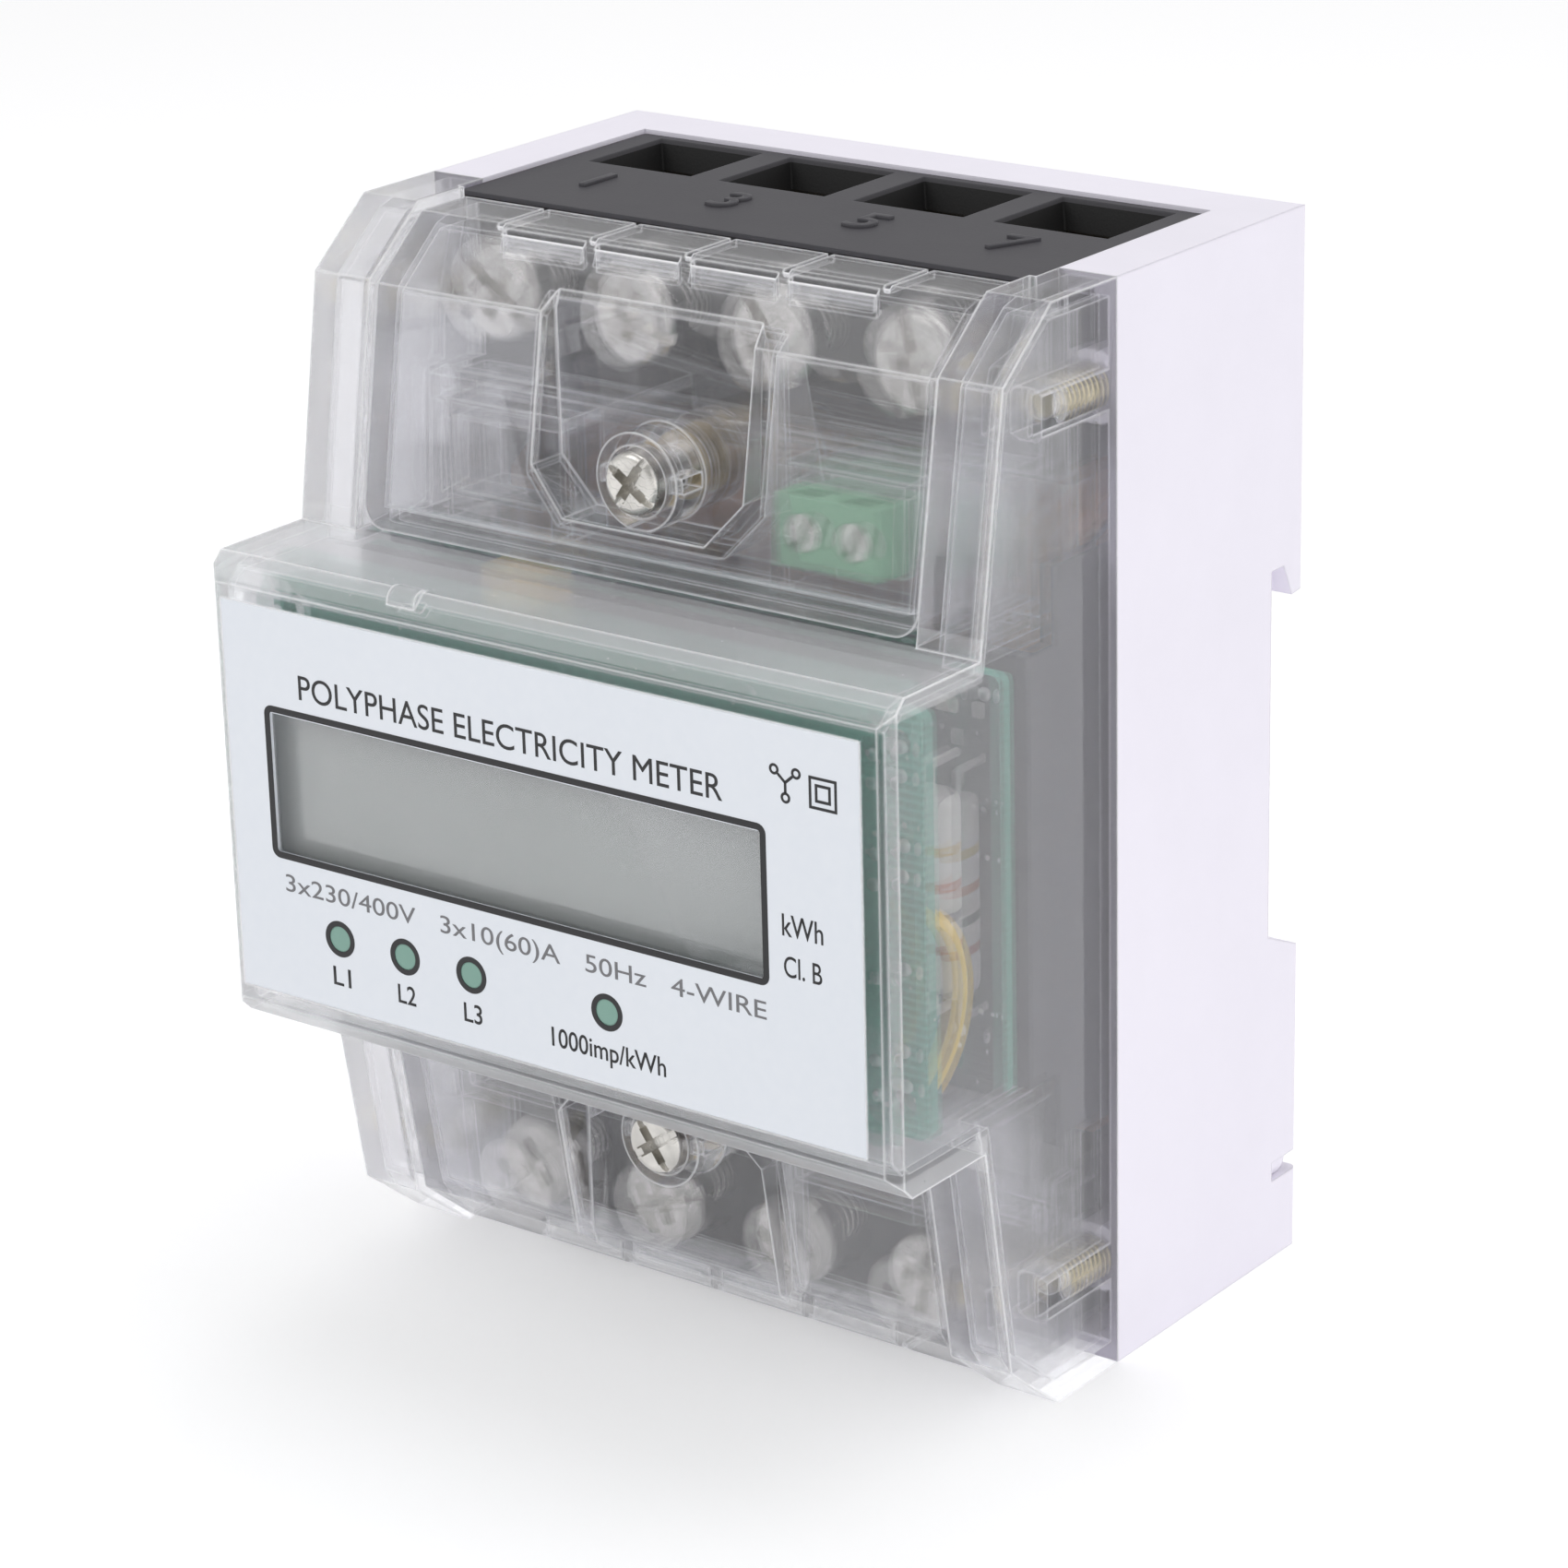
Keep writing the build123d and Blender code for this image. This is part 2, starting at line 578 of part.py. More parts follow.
def make_cover():
    outer = slab(cover_outline(), -COVER_HALF, COVER_HALF)
    outer = fillet(outer.edges().filter_by(Axis.Y).group_by(Axis.Z)[0], CORNER_R)
    skin = offset(side_face(cover_outline()), -COVER_WALL, kind=Kind.INTERSECTION)
    reach = COVER_HALF - COVER_WALL
    hollow = Pos(-reach, 0, 0) * extrude(skin, 2 * reach, dir=(1, 0, 0))
    lip_end = CHEEK_FOOT + SET_BACK + LIP_DEEP
    hollow += block(-reach, reach, COVER_BACK - 2, COVER_BACK + 1, COVER_LOW - 1,
                    COVER_TOP - COVER_WALL)
    hollow += block(-reach, reach, lip_end, COVER_BACK + 1,
                    COVER_LOW - 1, COVER_LOW + LIP_TALL)
    cover = outer - hollow
    cover -= block(-COVER_HALF - 1, COVER_HALF + 1, STEP_FRONT - 0.5, COVER_BACK + 1,
                   COVER_LOW - 1, STEP_TOP + 0.4)
    # octagonal recess with its own floor and walls
    cover += recess_prism(RECESS_SKIN, RECESS_FLOOR + RECESS_SKIN) & outer
    cover -= recess_prism(0.0, RECESS_FLOOR)
    # tubular boss for the seal screw, with wire windows through both sides
    floor_back = RECESS_FLOOR + RECESS_SKIN
    cover += rod(0, SEAL_Z, BOSS_R, BOSS_FRONT, floor_back)
    cover -= rod(0, SEAL_Z, SEAL_HEAD_R + 0.35, BOSS_FRONT - 1, BOSS_FRONT + 2.1)
    cover -= rod(0, SEAL_Z, SEAL_SHANK_R + RUNNING, BOSS_FRONT - 1, floor_back + 1)
    window_z = (SEAL_Z - WIRE_WINDOW_HALF, SEAL_Z + WIRE_WINDOW_HALF)
    cover -= block(-BOSS_R - 1, -2.6, *WIRE_WINDOW_Y, *window_z)
    cover -= block(2.6, BOSS_R + 1, *WIRE_WINDOW_Y, *window_z)
    # scored break-out tabs along the top strip
    for i in range(-2, 3):
        x = TAB_PITCH * i
        cover -= block(x - SCORE_HALF, x + SCORE_HALF, TOP_EDGE - 0.4, COVER_BACK + 1,
                       COVER_TOP - SCORE_DEEP, COVER_TOP + 1)
    for i in range(-2, 2):
        x0, x1 = TAB_PITCH * i + TAB_SLOT_IN, TAB_PITCH * (i + 1) - TAB_SLOT_IN
        cover -= block(x0, x1, TOP_EDGE - 1.0, TOP_EDGE - 0.5,
                       COVER_TOP - TAB_SLOT_DEEP, COVER_TOP + 1)
    return cover


def make_washer():
    return (rod(0, SEAL_Z, SEAL_HEAD_R + 0.1, *WASHER)
            - rod(0, SEAL_Z, SEAL_SHANK_R + RUNNING, WASHER[0] - 1, WASHER[1] + 1))


def make_seal_screw():
    """Sealing screw: domed head with a cross recess and sealing slots."""
    front, back = WASHER[0] - SEAL_HEAD_TALL, WASHER[0] - 0.05
    head = rod(0, SEAL_Z, SEAL_HEAD_R, front, back)
    head = fillet(head.edges().group_by(Axis.Y)[0], 0.7)
    screw = head + rod(0, SEAL_Z, SEAL_SHANK_R, back, STEP_FRONT + 0.5)
    cuts = None
    for turn in (35, 125):
        arm = block(-1.9, 1.9, front - 1, front + 1.5, -0.5, 0.5)
        arm += block(-3.2, 3.2, front - 1, front + 0.5, -0.35, 0.35)
        arm = Pos(0, 0, SEAL_Z) * Rot(0, turn, 0) * arm
        cuts = arm if cuts is None else cuts + arm
    return screw - cuts


def make_insert():
    body = rod(0, SEAL_Z, INSERT_R - 0.02, PILLAR_FRONT, STEP_FRONT + 1.2)
    return body - rod(0, SEAL_Z, SEAL_SHANK_R + RUNNING, PILLAR_FRONT - 1, STEP_FRONT + 2)


# ---- pulse output terminal ----------------------------------------------------------------
PLUG_X = (13.7, 24.6)
PLUG_Z = (76.7, 83.2)
PLUG_FRONT, PLUG_BACK = -14.5, -7.8
PLUG_SCREW_X = [sum(PLUG_X) / 2 + side * 2.7 for side in (-1, 1)]
PLUG_SCREW_Z = 79.9
PLUG_SCREW_R = 1.75
PLUG_SLOT_TURN = -62
PLUG_SLOT_HALF, PLUG_SLOT_DEEP = 0.28, 0.8


def make_plug():
    body = block(*PLUG_X, PLUG_FRONT, PLUG_BACK, *PLUG_Z)
    for x in PLUG_SCREW_X:
        body -= rod(x, PLUG_SCREW_Z, PLUG_SCREW_R + RUNNING, PLUG_FRONT - 1, PLUG_FRONT + 3.4)
        body -= block(x - 1.6, x + 1.6, PLUG_FRONT + 0.6, PLUG_FRONT + 2.6,
                      PLUG_Z[1] - 2.0, PLUG_Z[1] + 1)
    return body


def make_plug_screw(x):
    front = PLUG_FRONT + 0.35
    screw = rod(x, PLUG_SCREW_Z, PLUG_SCREW_R, front, PLUG_FRONT + 3.3)
    slot = block(-3, 3, front - 1, front + PLUG_SLOT_DEEP, -PLUG_SLOT_HALF, PLUG_SLOT_HALF)
    return screw - Pos(x, 0, PLUG_SCREW_Z) * Rot(0, PLUG_SLOT_TURN, 0) * slot


def make_plug_header():
    return block(PLUG_X[0], PLUG_X[1], PLUG_BACK, STEP_BACK - 0.6, PLUG_Z[0], PLUG_Z[1])


# ---- case screws --------------------------------------------------------------------------
def case_screw(x, z):
    head_front = SCREW_SEAT + 1.8
    screw = rod(x, z, CASE_HEAD_R, SCREW_SEAT, head_front)
    screw += rod(x, z, CASE_SCREW_R, -4.6, SCREW_SEAT)
    for turn in (0, 90):
        arm = block(-1.6, 1.6, head_front - 1.1, head_front + 1, -0.4, 0.4)
        screw -= Pos(x, 0, z) * Rot(0, turn, 0) * arm
    return screw


# ---- all nodes ----------------------------------------------------------------------------
SLOT_TURNS = (35, 20, 60, 80)


def make_nodes():
    terminal_block, cover = make_block(), make_cover()
    washer, seal, insert = make_washer(), make_seal_screw(), make_insert()
    nodes = {
        "rear_base": make_base(),
        "din_clip": make_clip(),
        "clip_spring": make_spring(),
        "terminal_block_upper": terminal_block,
        "terminal_block_lower": lower(terminal_block),
        "case_front": make_case(),
        "upper_cover": cover,
        "lower_cover": lower(cover),
        "seal_washer_upper": washer,
        "seal_washer_lower": lower(washer),
        "seal_screw_upper": seal,
        "seal_screw_lower": lower(seal),
        "seal_insert_upper": insert,
        "seal_insert_lower": lower(insert),
        "display_label": make_label(),
        "lcd_module": make_lcd(),
        "display_pcb": make_pcb(DISPLAY_PCB, 33.0),
        "main_pcb": make_pcb(MAIN_PCB, 24.0),
        "pin_header": make_header_strip(),
        "resistor": make_resistor(),
        "wire_loop": make_wire_loop(),
        "capacitor": make_capacitor(),
        "status_leds": make_leds(),
        "plug_header": make_plug_header(),
        "pulse_plug": make_plug(),
        "case_screws": four_corners(case_screw),
        "inner_frame": make_frame(),
    }
    for i, x in enumerate(PLUG_SCREW_X, 1):
        nodes[f"plug_screw_{i}"] = make_plug_screw(x)
    for i, x in enumerate(TERMINAL_X[:3], 1):
        nodes[f"current_sensor_{i}"] = make_sensor(x)
    for i, x in enumerate(TERMINAL_X):
        nodes[f"copper_bar_{i + 1}"] = make_bar(x)
        cage, plate = make_cage(x), make_plate(x)
        screw = make_terminal_screw(x, SLOT_TURNS[i])
        top, bottom = 2 * i + 1, 2 * i + 2
        nodes[f"cage_{top}"], nodes[f"cage_{bottom}"] = cage, lower(cage)
        nodes[f"clamp_plate_{top}"], nodes[f"clamp_plate_{bottom}"] = plate, lower(plate)
        nodes[f"terminal_screw_{top}"], nodes[f"terminal_screw_{bottom}"] = screw, lower(screw)
    return nodes


os.makedirs("parts", exist_ok=True)
for name, shape in make_nodes().items():
    export_step(shape, f"parts/{name}.step")
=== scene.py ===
import bpy
import bmesh
import json
import math
from mathutils import Matrix, Vector


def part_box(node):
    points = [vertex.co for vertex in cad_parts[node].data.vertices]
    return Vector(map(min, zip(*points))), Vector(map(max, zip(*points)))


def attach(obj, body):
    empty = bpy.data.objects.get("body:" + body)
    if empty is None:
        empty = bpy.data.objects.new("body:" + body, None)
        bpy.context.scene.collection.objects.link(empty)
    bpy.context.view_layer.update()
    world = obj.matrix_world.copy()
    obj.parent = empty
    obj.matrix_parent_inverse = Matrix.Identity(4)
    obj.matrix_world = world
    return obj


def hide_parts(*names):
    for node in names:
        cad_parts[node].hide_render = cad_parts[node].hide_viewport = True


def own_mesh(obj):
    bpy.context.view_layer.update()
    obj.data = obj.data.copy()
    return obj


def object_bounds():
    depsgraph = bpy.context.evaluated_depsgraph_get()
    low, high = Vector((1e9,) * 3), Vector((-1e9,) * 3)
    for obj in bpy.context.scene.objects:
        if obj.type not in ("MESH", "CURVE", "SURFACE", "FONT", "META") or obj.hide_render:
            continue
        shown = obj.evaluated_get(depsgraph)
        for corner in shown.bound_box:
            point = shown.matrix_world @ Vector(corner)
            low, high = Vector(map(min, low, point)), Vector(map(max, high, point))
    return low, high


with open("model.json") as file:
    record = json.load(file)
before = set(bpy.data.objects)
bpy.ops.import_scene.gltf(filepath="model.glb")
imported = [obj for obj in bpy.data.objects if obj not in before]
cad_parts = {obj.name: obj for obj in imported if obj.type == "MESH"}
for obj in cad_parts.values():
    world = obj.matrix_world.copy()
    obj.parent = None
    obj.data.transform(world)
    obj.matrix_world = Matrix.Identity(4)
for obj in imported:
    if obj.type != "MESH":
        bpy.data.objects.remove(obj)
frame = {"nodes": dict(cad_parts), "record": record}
CAD_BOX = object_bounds()
NODES = frame["nodes"]
MM = 0.001


# ---- shader building ----------------------------------------------------------------------
class Wire:
    """A value socket that adds Math nodes when it is used in an expression."""

    def __init__(self, paint, socket):
        self.paint = paint
        self.socket = socket

    def math(self, operation, *others, first=None):
        values = ([first] if first is not None else []) + [self] + list(others)
        return self.paint.node("ShaderNodeMath", {"operation": operation}, values)

    def __add__(self, other):
        return self.math("ADD", other)

    def __radd__(self, other):
        return self.math("ADD", first=other)

    def __sub__(self, other):
        return self.math("SUBTRACT", other)

    def __rsub__(self, other):
        return self.math("SUBTRACT", first=other)

    def __mul__(self, other):
        return self.math("MULTIPLY", other)

    def __rmul__(self, other):
        return self.math("MULTIPLY", first=other)

    def __truediv__(self, other):
        return self.math("DIVIDE", other)

    def __gt__(self, other):
        return self.math("GREATER_THAN", other)

    def __lt__(self, other):
        return self.math("LESS_THAN", other)

    def clamped(self):
        """The same value, held between 0 and 1."""
        self.socket.node.use_clamp = True
        return self


class Paint:
    """One material and its node tree."""

    def __init__(self, name):
        self.material = bpy.data.materials.new(name)
        self.material.use_nodes = True
        self.tree = self.material.node_tree
        self.tree.nodes.clear()
        self.output = self.tree.nodes.new("ShaderNodeOutputMaterial")
        self.place = self.node("ShaderNodeTexCoord").socket.node.outputs["Object"]

    def node(self, kind, settings=None, inputs=(), out=0):
        made = self.tree.nodes.new(kind)
        for key, value in (settings or {}).items():
            if key == "stops":
                self.set_stops(made.color_ramp, value)
            else:
                setattr(made, key, value)
        pairs = inputs.items() if isinstance(inputs, dict) else enumerate(inputs)
        for key, value in pairs:
            self.feed(made.inputs[key], value)
        return Wire(self, made.outputs[out])

    def feed(self, socket, value):
        if isinstance(value, Wire):
            value = value.socket
        if isinstance(value, bpy.types.NodeSocket):
            self.tree.links.new(value, socket)
        else:
            socket.default_value = value

    def set_stops(self, ramp, stops):
        while len(ramp.elements) < len(stops):
            ramp.elements.new(0.5)
        for element, (place, shade) in zip(ramp.elements, stops):
            element.position = place
            element.color = (shade, shade, shade, 1.0) if isinstance(shade, float) else shade

    def axes(self):
        """The X, Y and Z of a point on the piece, in metres."""
        split = self.node("ShaderNodeSeparateXYZ", None, [self.place])
        return [Wire(self, split.socket.node.outputs[i]) for i in range(3)]

    def stretched(self, scale):
        return self.node("ShaderNodeMapping", None, {"Vector": self.place, "Scale": scale}).socket

    def noise(self, per_metre, detail=3.0, rough=0.5, at=None):
        inputs = {"Vector": at or self.place, "Scale": per_metre, "Detail": detail,
                  "Roughness": rough}
        return self.node("ShaderNodeTexNoise", None, inputs)

    def cells(self, per_metre, feature="F1", at=None):
        inputs = {"Vector": at or self.place, "Scale": per_metre}
        return self.node("ShaderNodeTexVoronoi", {"feature": feature}, inputs)

    def ramp(self, value, *stops):
        return self.node("ShaderNodeValToRGB", {"stops": stops}, [value])

    def blend(self, factor, colour_a, colour_b):
        inputs = {0: factor, 6: colour_a, 7: colour_b}
        return self.node("ShaderNodeMix", {"data_type": "RGBA"}, inputs, out=2)

    def bump(self, height, distance, strength=1.0, normal=None):
        inputs = {"Height": height, "Distance": distance, "Strength": strength}
        if normal is not None:
            inputs["Normal"] = normal
        return self.node("ShaderNodeBump", None, inputs)

    def soft_edges(self, radius, full=0.80, none=0.985):
        """Normals rounded over each edge, and a mask that is 1 on the edge itself.

        full and none are how far the two normals agree where the mask is 1 and where it is 0."""
        rounded = self.node("ShaderNodeBevel", {"samples": 4}, {"Radius": radius})
        flat = self.tree.nodes.new("ShaderNodeNewGeometry").outputs["True Normal"]
        agree = self.node("ShaderNodeVectorMath", {"operation": "DOT_PRODUCT"}, [rounded, flat],
                          out=1)
        return rounded, self.ramp(agree, (full, 1.0), (none, 0.0))

    def surface(self, **inputs):
        named = {key.replace("_", " "): value for key, value in inputs.items()}
        return self.node("ShaderNodeBsdfPrincipled", None, named)

    def done(self, shader):
        self.feed(self.output.inputs["Surface"], shader)
        return self.material


def rgb(red, green, blue):
    return (red, green, blue, 1.0)


def shade(colour, factor):
    return (colour[0] * factor, colour[1] * factor, colour[2] * factor, 1.0)


def moulded_plastic(name, colour, rough, grain=0.03, gloss=0.5, worn=1.06, recess_shade=None):
    """Moulded plastic: fine spark-eroded grain, faint flow marks, smears and rubbed edges.

    deep is (height, share): below that distance from the outer faces the tone falls towards black by
    that share, as painted shade."""
    p = Paint(name)
    flow = p.noise(40.0, 2.0, at=p.stretched((1.0, 1.0, 0.35)))
    smear = p.noise(140.0, 5.0, 0.62)
    fine = p.noise(3200.0, 2.0)
    pits = p.cells(5200.0)
    rounded, edge = p.soft_edges(0.3 * MM)
    tone = p.ramp(flow * 0.6 + smear * 0.4, (0.3, shade(colour, 0.965)), (0.72, shade(colour, 1.02)))
    rub = edge * p.ramp(smear, (0.35, 0.2), (0.65, 1.0))
    tone = p.blend(rub, tone, shade(colour, worn))
    if recess_shade:
        _, _, z = p.axes()
        # painted shade: near black laid into the tone where the wire funnels lie in shade
        painted_shade_zone = (z - MIDDLE).math("ABSOLUTE") < recess_shade[0]
        tone = p.blend(painted_shade_zone * recess_shade[1], tone, rgb(0.004, 0.004, 0.004))
    roughness = rough - 0.06 + smear * 0.10 + fine * 0.04 - edge * 0.05
    height = fine * 0.6 + pits * 0.4
    normal = p.bump(height, 0.00004, grain * 8.0, rounded)
    return p.done(p.surface(Base_Color=tone, Roughness=roughness, Normal=normal,
                            Specular_IOR_Level=gloss))


METAL_DULL = 0.72               # tone of the dull patches, as a share of the colour
SCRATCH_WIDE = 0.06
SCRATCH_STRETCH = (1.0, 0.25, 1.0)


def metal(name, colour, rough):
    """Plated or bare metal: fine turning marks, dull patches and small scratches."""
    p = Paint(name)
    patch = p.noise(420.0, 4.0, 0.6)
    lines = p.noise(2600.0, 2.0)
    scratch = p.cells(1500.0, "DISTANCE_TO_EDGE", at=p.stretched(SCRATCH_STRETCH))
    tone = p.blend(p.ramp(patch, (0.35, 0.0), (0.7, 1.0)), shade(colour, METAL_DULL), colour)
    roughness = rough + patch * 0.12 + lines * 0.06
    height = lines * 0.5 + p.ramp(scratch, (0.0, 0.0), (SCRATCH_WIDE, 1.0)) * 0.5
    rounded, edge = p.soft_edges(0.12 * MM)
    tone = p.blend(edge * 0.5, tone, shade(colour, 1.12))
    normal = p.bump(height, 0.00003, 0.5, rounded)
    return p.done(p.surface(Base_Color=tone, Metallic=1.0, Roughness=roughness, Normal=normal))


def clear_plastic(name, haze, polished, milk, straight, frosted=None, veil=0.0):
    """Clear moulded polycarbonate: milky where the tool is matt, clearer where it is polished.

    haze and polished are the two roughnesses, milk is the share of light that scatters, and
    straight is the share that goes through without bending. frosted is the roughness of the
    walls above and below the display, and veil is a white bloom outside the polished recess."""
    p = Paint(name)
    flow = p.noise(55.0, 2.0)
    smear = p.noise(260.0, 5.0, 0.65)
    dust = p.ramp(p.cells(700.0), (0.03, 1.0), (0.06, 0.0))
    x, y, z = p.axes()
    inside = (x.math("ABSOLUTE") < POLISHED_HALF) * (y < POLISHED_BACK)
    level = haze + (polished - haze) * inside
    rounded, edge = p.soft_edges(EDGE_RADIUS, EDGE_FULL, EDGE_NONE)
    # painted highlight: white on each edge stands in for bright edge lines; the veil and frosted walls
    # are the plastic's own milkiness
    white = edge * EDGE_PAINTED_HIGHLIGHT + (1.0 - inside) * veil
    if frosted:
        from_middle = (z - MIDDLE).math("ABSOLUTE")
        shelf = (from_middle > SHELF_FROM_MIDDLE) * (y < SHELF_BACK)
        level = level + (frosted - haze) * shelf
        white = (white + shelf * SHELF_MILK).clamped()
    roughness = level + smear * 0.015 + dust * 0.05
    normal = p.bump(flow, 0.00020, 0.25, rounded)
    tone = p.blend(flow, CLEAR_TINT_DEEP, CLEAR_TINT)
    glass = p.surface(Base_Color=tone, Roughness=roughness, Normal=normal, IOR=1.45,
                      Transmission_Weight=1.0 - milk)
    see = p.node("ShaderNodeBsdfTransparent", None, {"Color": rgb(0.97, 0.97, 0.98)})
    bright = p.surface(Base_Color=rgb(0.93, 0.93, 0.95), Roughness=0.45)
    is_lamp = Wire(p, p.node("ShaderNodeLightPath").socket.node.outputs["Is Shadow Ray"])
    through = (is_lamp + straight).clamped()
    body = p.node("ShaderNodeMixShader", None, [through, glass, see])
    return p.done(p.node("ShaderNodeMixShader", None, [white, body, bright]))


def printed_film(name):
    """White label film with a faint mottle and a satin coat."""
    p = Paint(name)
    mottle = p.noise(900.0, 3.0)
    wide = p.noise(30.0, 2.0)
    cloud = mottle * 0.5 + wide * 0.5
    tone = p.ramp(cloud, (0.3, rgb(0.74, 0.775, 0.83)), (0.7, rgb(0.77, 0.80, 0.85)))
    roughness = 0.34 + mottle * 0.06
    normal = p.bump(mottle, 0.00002, 0.3)
    return p.done(p.surface(Base_Color=tone, Roughness=roughness, Normal=normal, Coat_Weight=0.25,
                            Coat_Roughness=0.2))


def ink(name, colour):
    """Screen-printed ink with slightly uneven cover."""
    p = Paint(name)
    cover = p.noise(2600.0, 3.0)
    tone = p.blend(cover, shade(colour, 0.8), shade(colour, 1.25))
    return p.done(p.surface(Base_Color=tone, Roughness=0.42 + cover * 0.1,
                            Normal=p.bump(cover, 0.00001, 0.3)))


def liquid_crystal(name):
    """Unlit grey-green cell, brighter towards its left edge and top by painted light and darker towards
    its bottom by painted shade, with a fine polariser weave.
    """
    p = Paint(name)
    x, _, z = p.axes()
    low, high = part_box("lcd_module")
    across = (x - low[0]) / (high[0] - low[0])
    up = (z - low[2]) / (high[2] - low[2])
    cloud = p.noise(60.0, 3.0)
    # painted light and shade by place across the cell; the cloud is the cell's own mottle
    level = across * 0.35 + (1.0 - up) * 0.25 + cloud * 0.4
    tone = p.ramp(level, (0.1, rgb(0.39, 0.41, 0.39)), (0.9, rgb(0.29, 0.32, 0.30)))
    weave = p.noise(2500.0, 1.0)
    return p.done(p.surface(Base_Color=tone, Roughness=0.24 + weave * 0.05,
                            Normal=p.bump(weave, 0.000002, 0.06), Coat_Weight=0.4))


def circuit_board(name, mask_low, mask_high, painted_shade_front=None):
    """Solder mask over copper tracks, with tinned pads.

    Where a depth is given, the board's face in front of it is painted near black as painted shade."""
    p = Paint(name)
    turned = p.node("ShaderNodeMapping", None,
                    {"Vector": p.place, "Rotation": (math.radians(90.0), 0.0, 0.0)}).socket
    brick = {"Vector": turned, "Scale": 320.0, "Color1": (0, 0, 0, 1),
             "Color2": (0.15, 0.15, 0.15, 1), "Mortar": (1, 1, 1, 1), "Mortar Size": 0.05}
    track = p.node("ShaderNodeTexBrick", None, brick, out=0)
    pads = p.cells(360.0, at=turned)
    pad = p.ramp(pads, (0.08, 1.0), (0.11, 0.0))
    tone = p.blend(track, mask_low, mask_high)
    # painted shade: the board's front face goes near black
    if painted_shade_front:
        _, y, _ = p.axes()
        tone = p.blend(y < painted_shade_front, tone, rgb(0.06, 0.064, 0.075))
    tone = p.blend(pad, tone, rgb(0.72, 0.73, 0.72))
    normal = p.bump(track + pad * 2.0, 0.00005, 0.6)
    return p.done(p.surface(Base_Color=tone, Roughness=0.3 + p.noise(800.0) * 0.12, Metallic=pad,
                            Normal=normal, Coat_Weight=0.2))


def banded_body(name):
    """Pale resistor body with colour bands round its length."""
    p = Paint(name)
    _, _, z = p.axes()
    low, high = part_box("resistor")
    along = (z - low[2]) / (high[2] - low[2])
    tone = rgb(0.60, 0.58, 0.56)
    bands = ((0.30, rgb(0.36, 0.05, 0.04)), (0.42, rgb(0.05, 0.05, 0.06)),
             (0.54, rgb(0.42, 0.10, 0.03)), (0.68, rgb(0.50, 0.36, 0.10)))
    for centre, colour in bands:
        inside = (along > centre - 0.018) * (along < centre + 0.018)
        tone = p.blend(inside, tone, colour)
    cloud = p.noise(900.0, 3.0)
    return p.done(p.surface(Base_Color=tone, Roughness=0.38 + cloud * 0.12,
                            Normal=p.bump(cloud, 0.00003, 0.4)))


def pale_backdrop(name):
    p = Paint(name)
    cloud = p.noise(3.0, 2.0)
    tone = p.blend(cloud, rgb(0.84, 0.84, 0.85), rgb(0.86, 0.86, 0.87))
    return p.done(p.surface(Base_Color=tone, Roughness=0.7, Emission_Color=rgb(1.0, 1.0, 1.0),
                            Emission_Strength=0.32))


CLEAR_TINT, CLEAR_TINT_DEEP = rgb(0.97, 0.97, 0.985), rgb(0.95, 0.95, 0.97)
POLISHED_HALF = 11.9 * MM       # half width of the polished recess in each cover
POLISHED_BACK = -11.7 * MM
MIDDLE = (CAD_BOX[0][2] + CAD_BOX[1][2]) / 2
SHELF_FROM_MIDDLE = 20.6 * MM   # inner faces of the display box's top and bottom walls
SHELF_BACK = -19.0 * MM
EDGE_RADIUS = 0.42 * MM         # of the clear mouldings, with the two limits of their edge mask
EDGE_FULL, EDGE_NONE = 0.89, 0.995
EDGE_PAINTED_HIGHLIGHT = 0.80                # share of white painted on an edge as a highlight
SHELF_MILK = 0.20               # share of white on the walls above and below the display

FUNNEL_FROM_MIDDLE = 50.2 * MM  # inside this the wire funnels lie in shade
BOARD_GREEN, BOARD_TRACK = rgb(0.05, 0.24, 0.17), rgb(0.10, 0.36, 0.26)
NICKEL, ZINC = rgb(0.80, 0.78, 0.74), rgb(0.78, 0.70, 0.48)

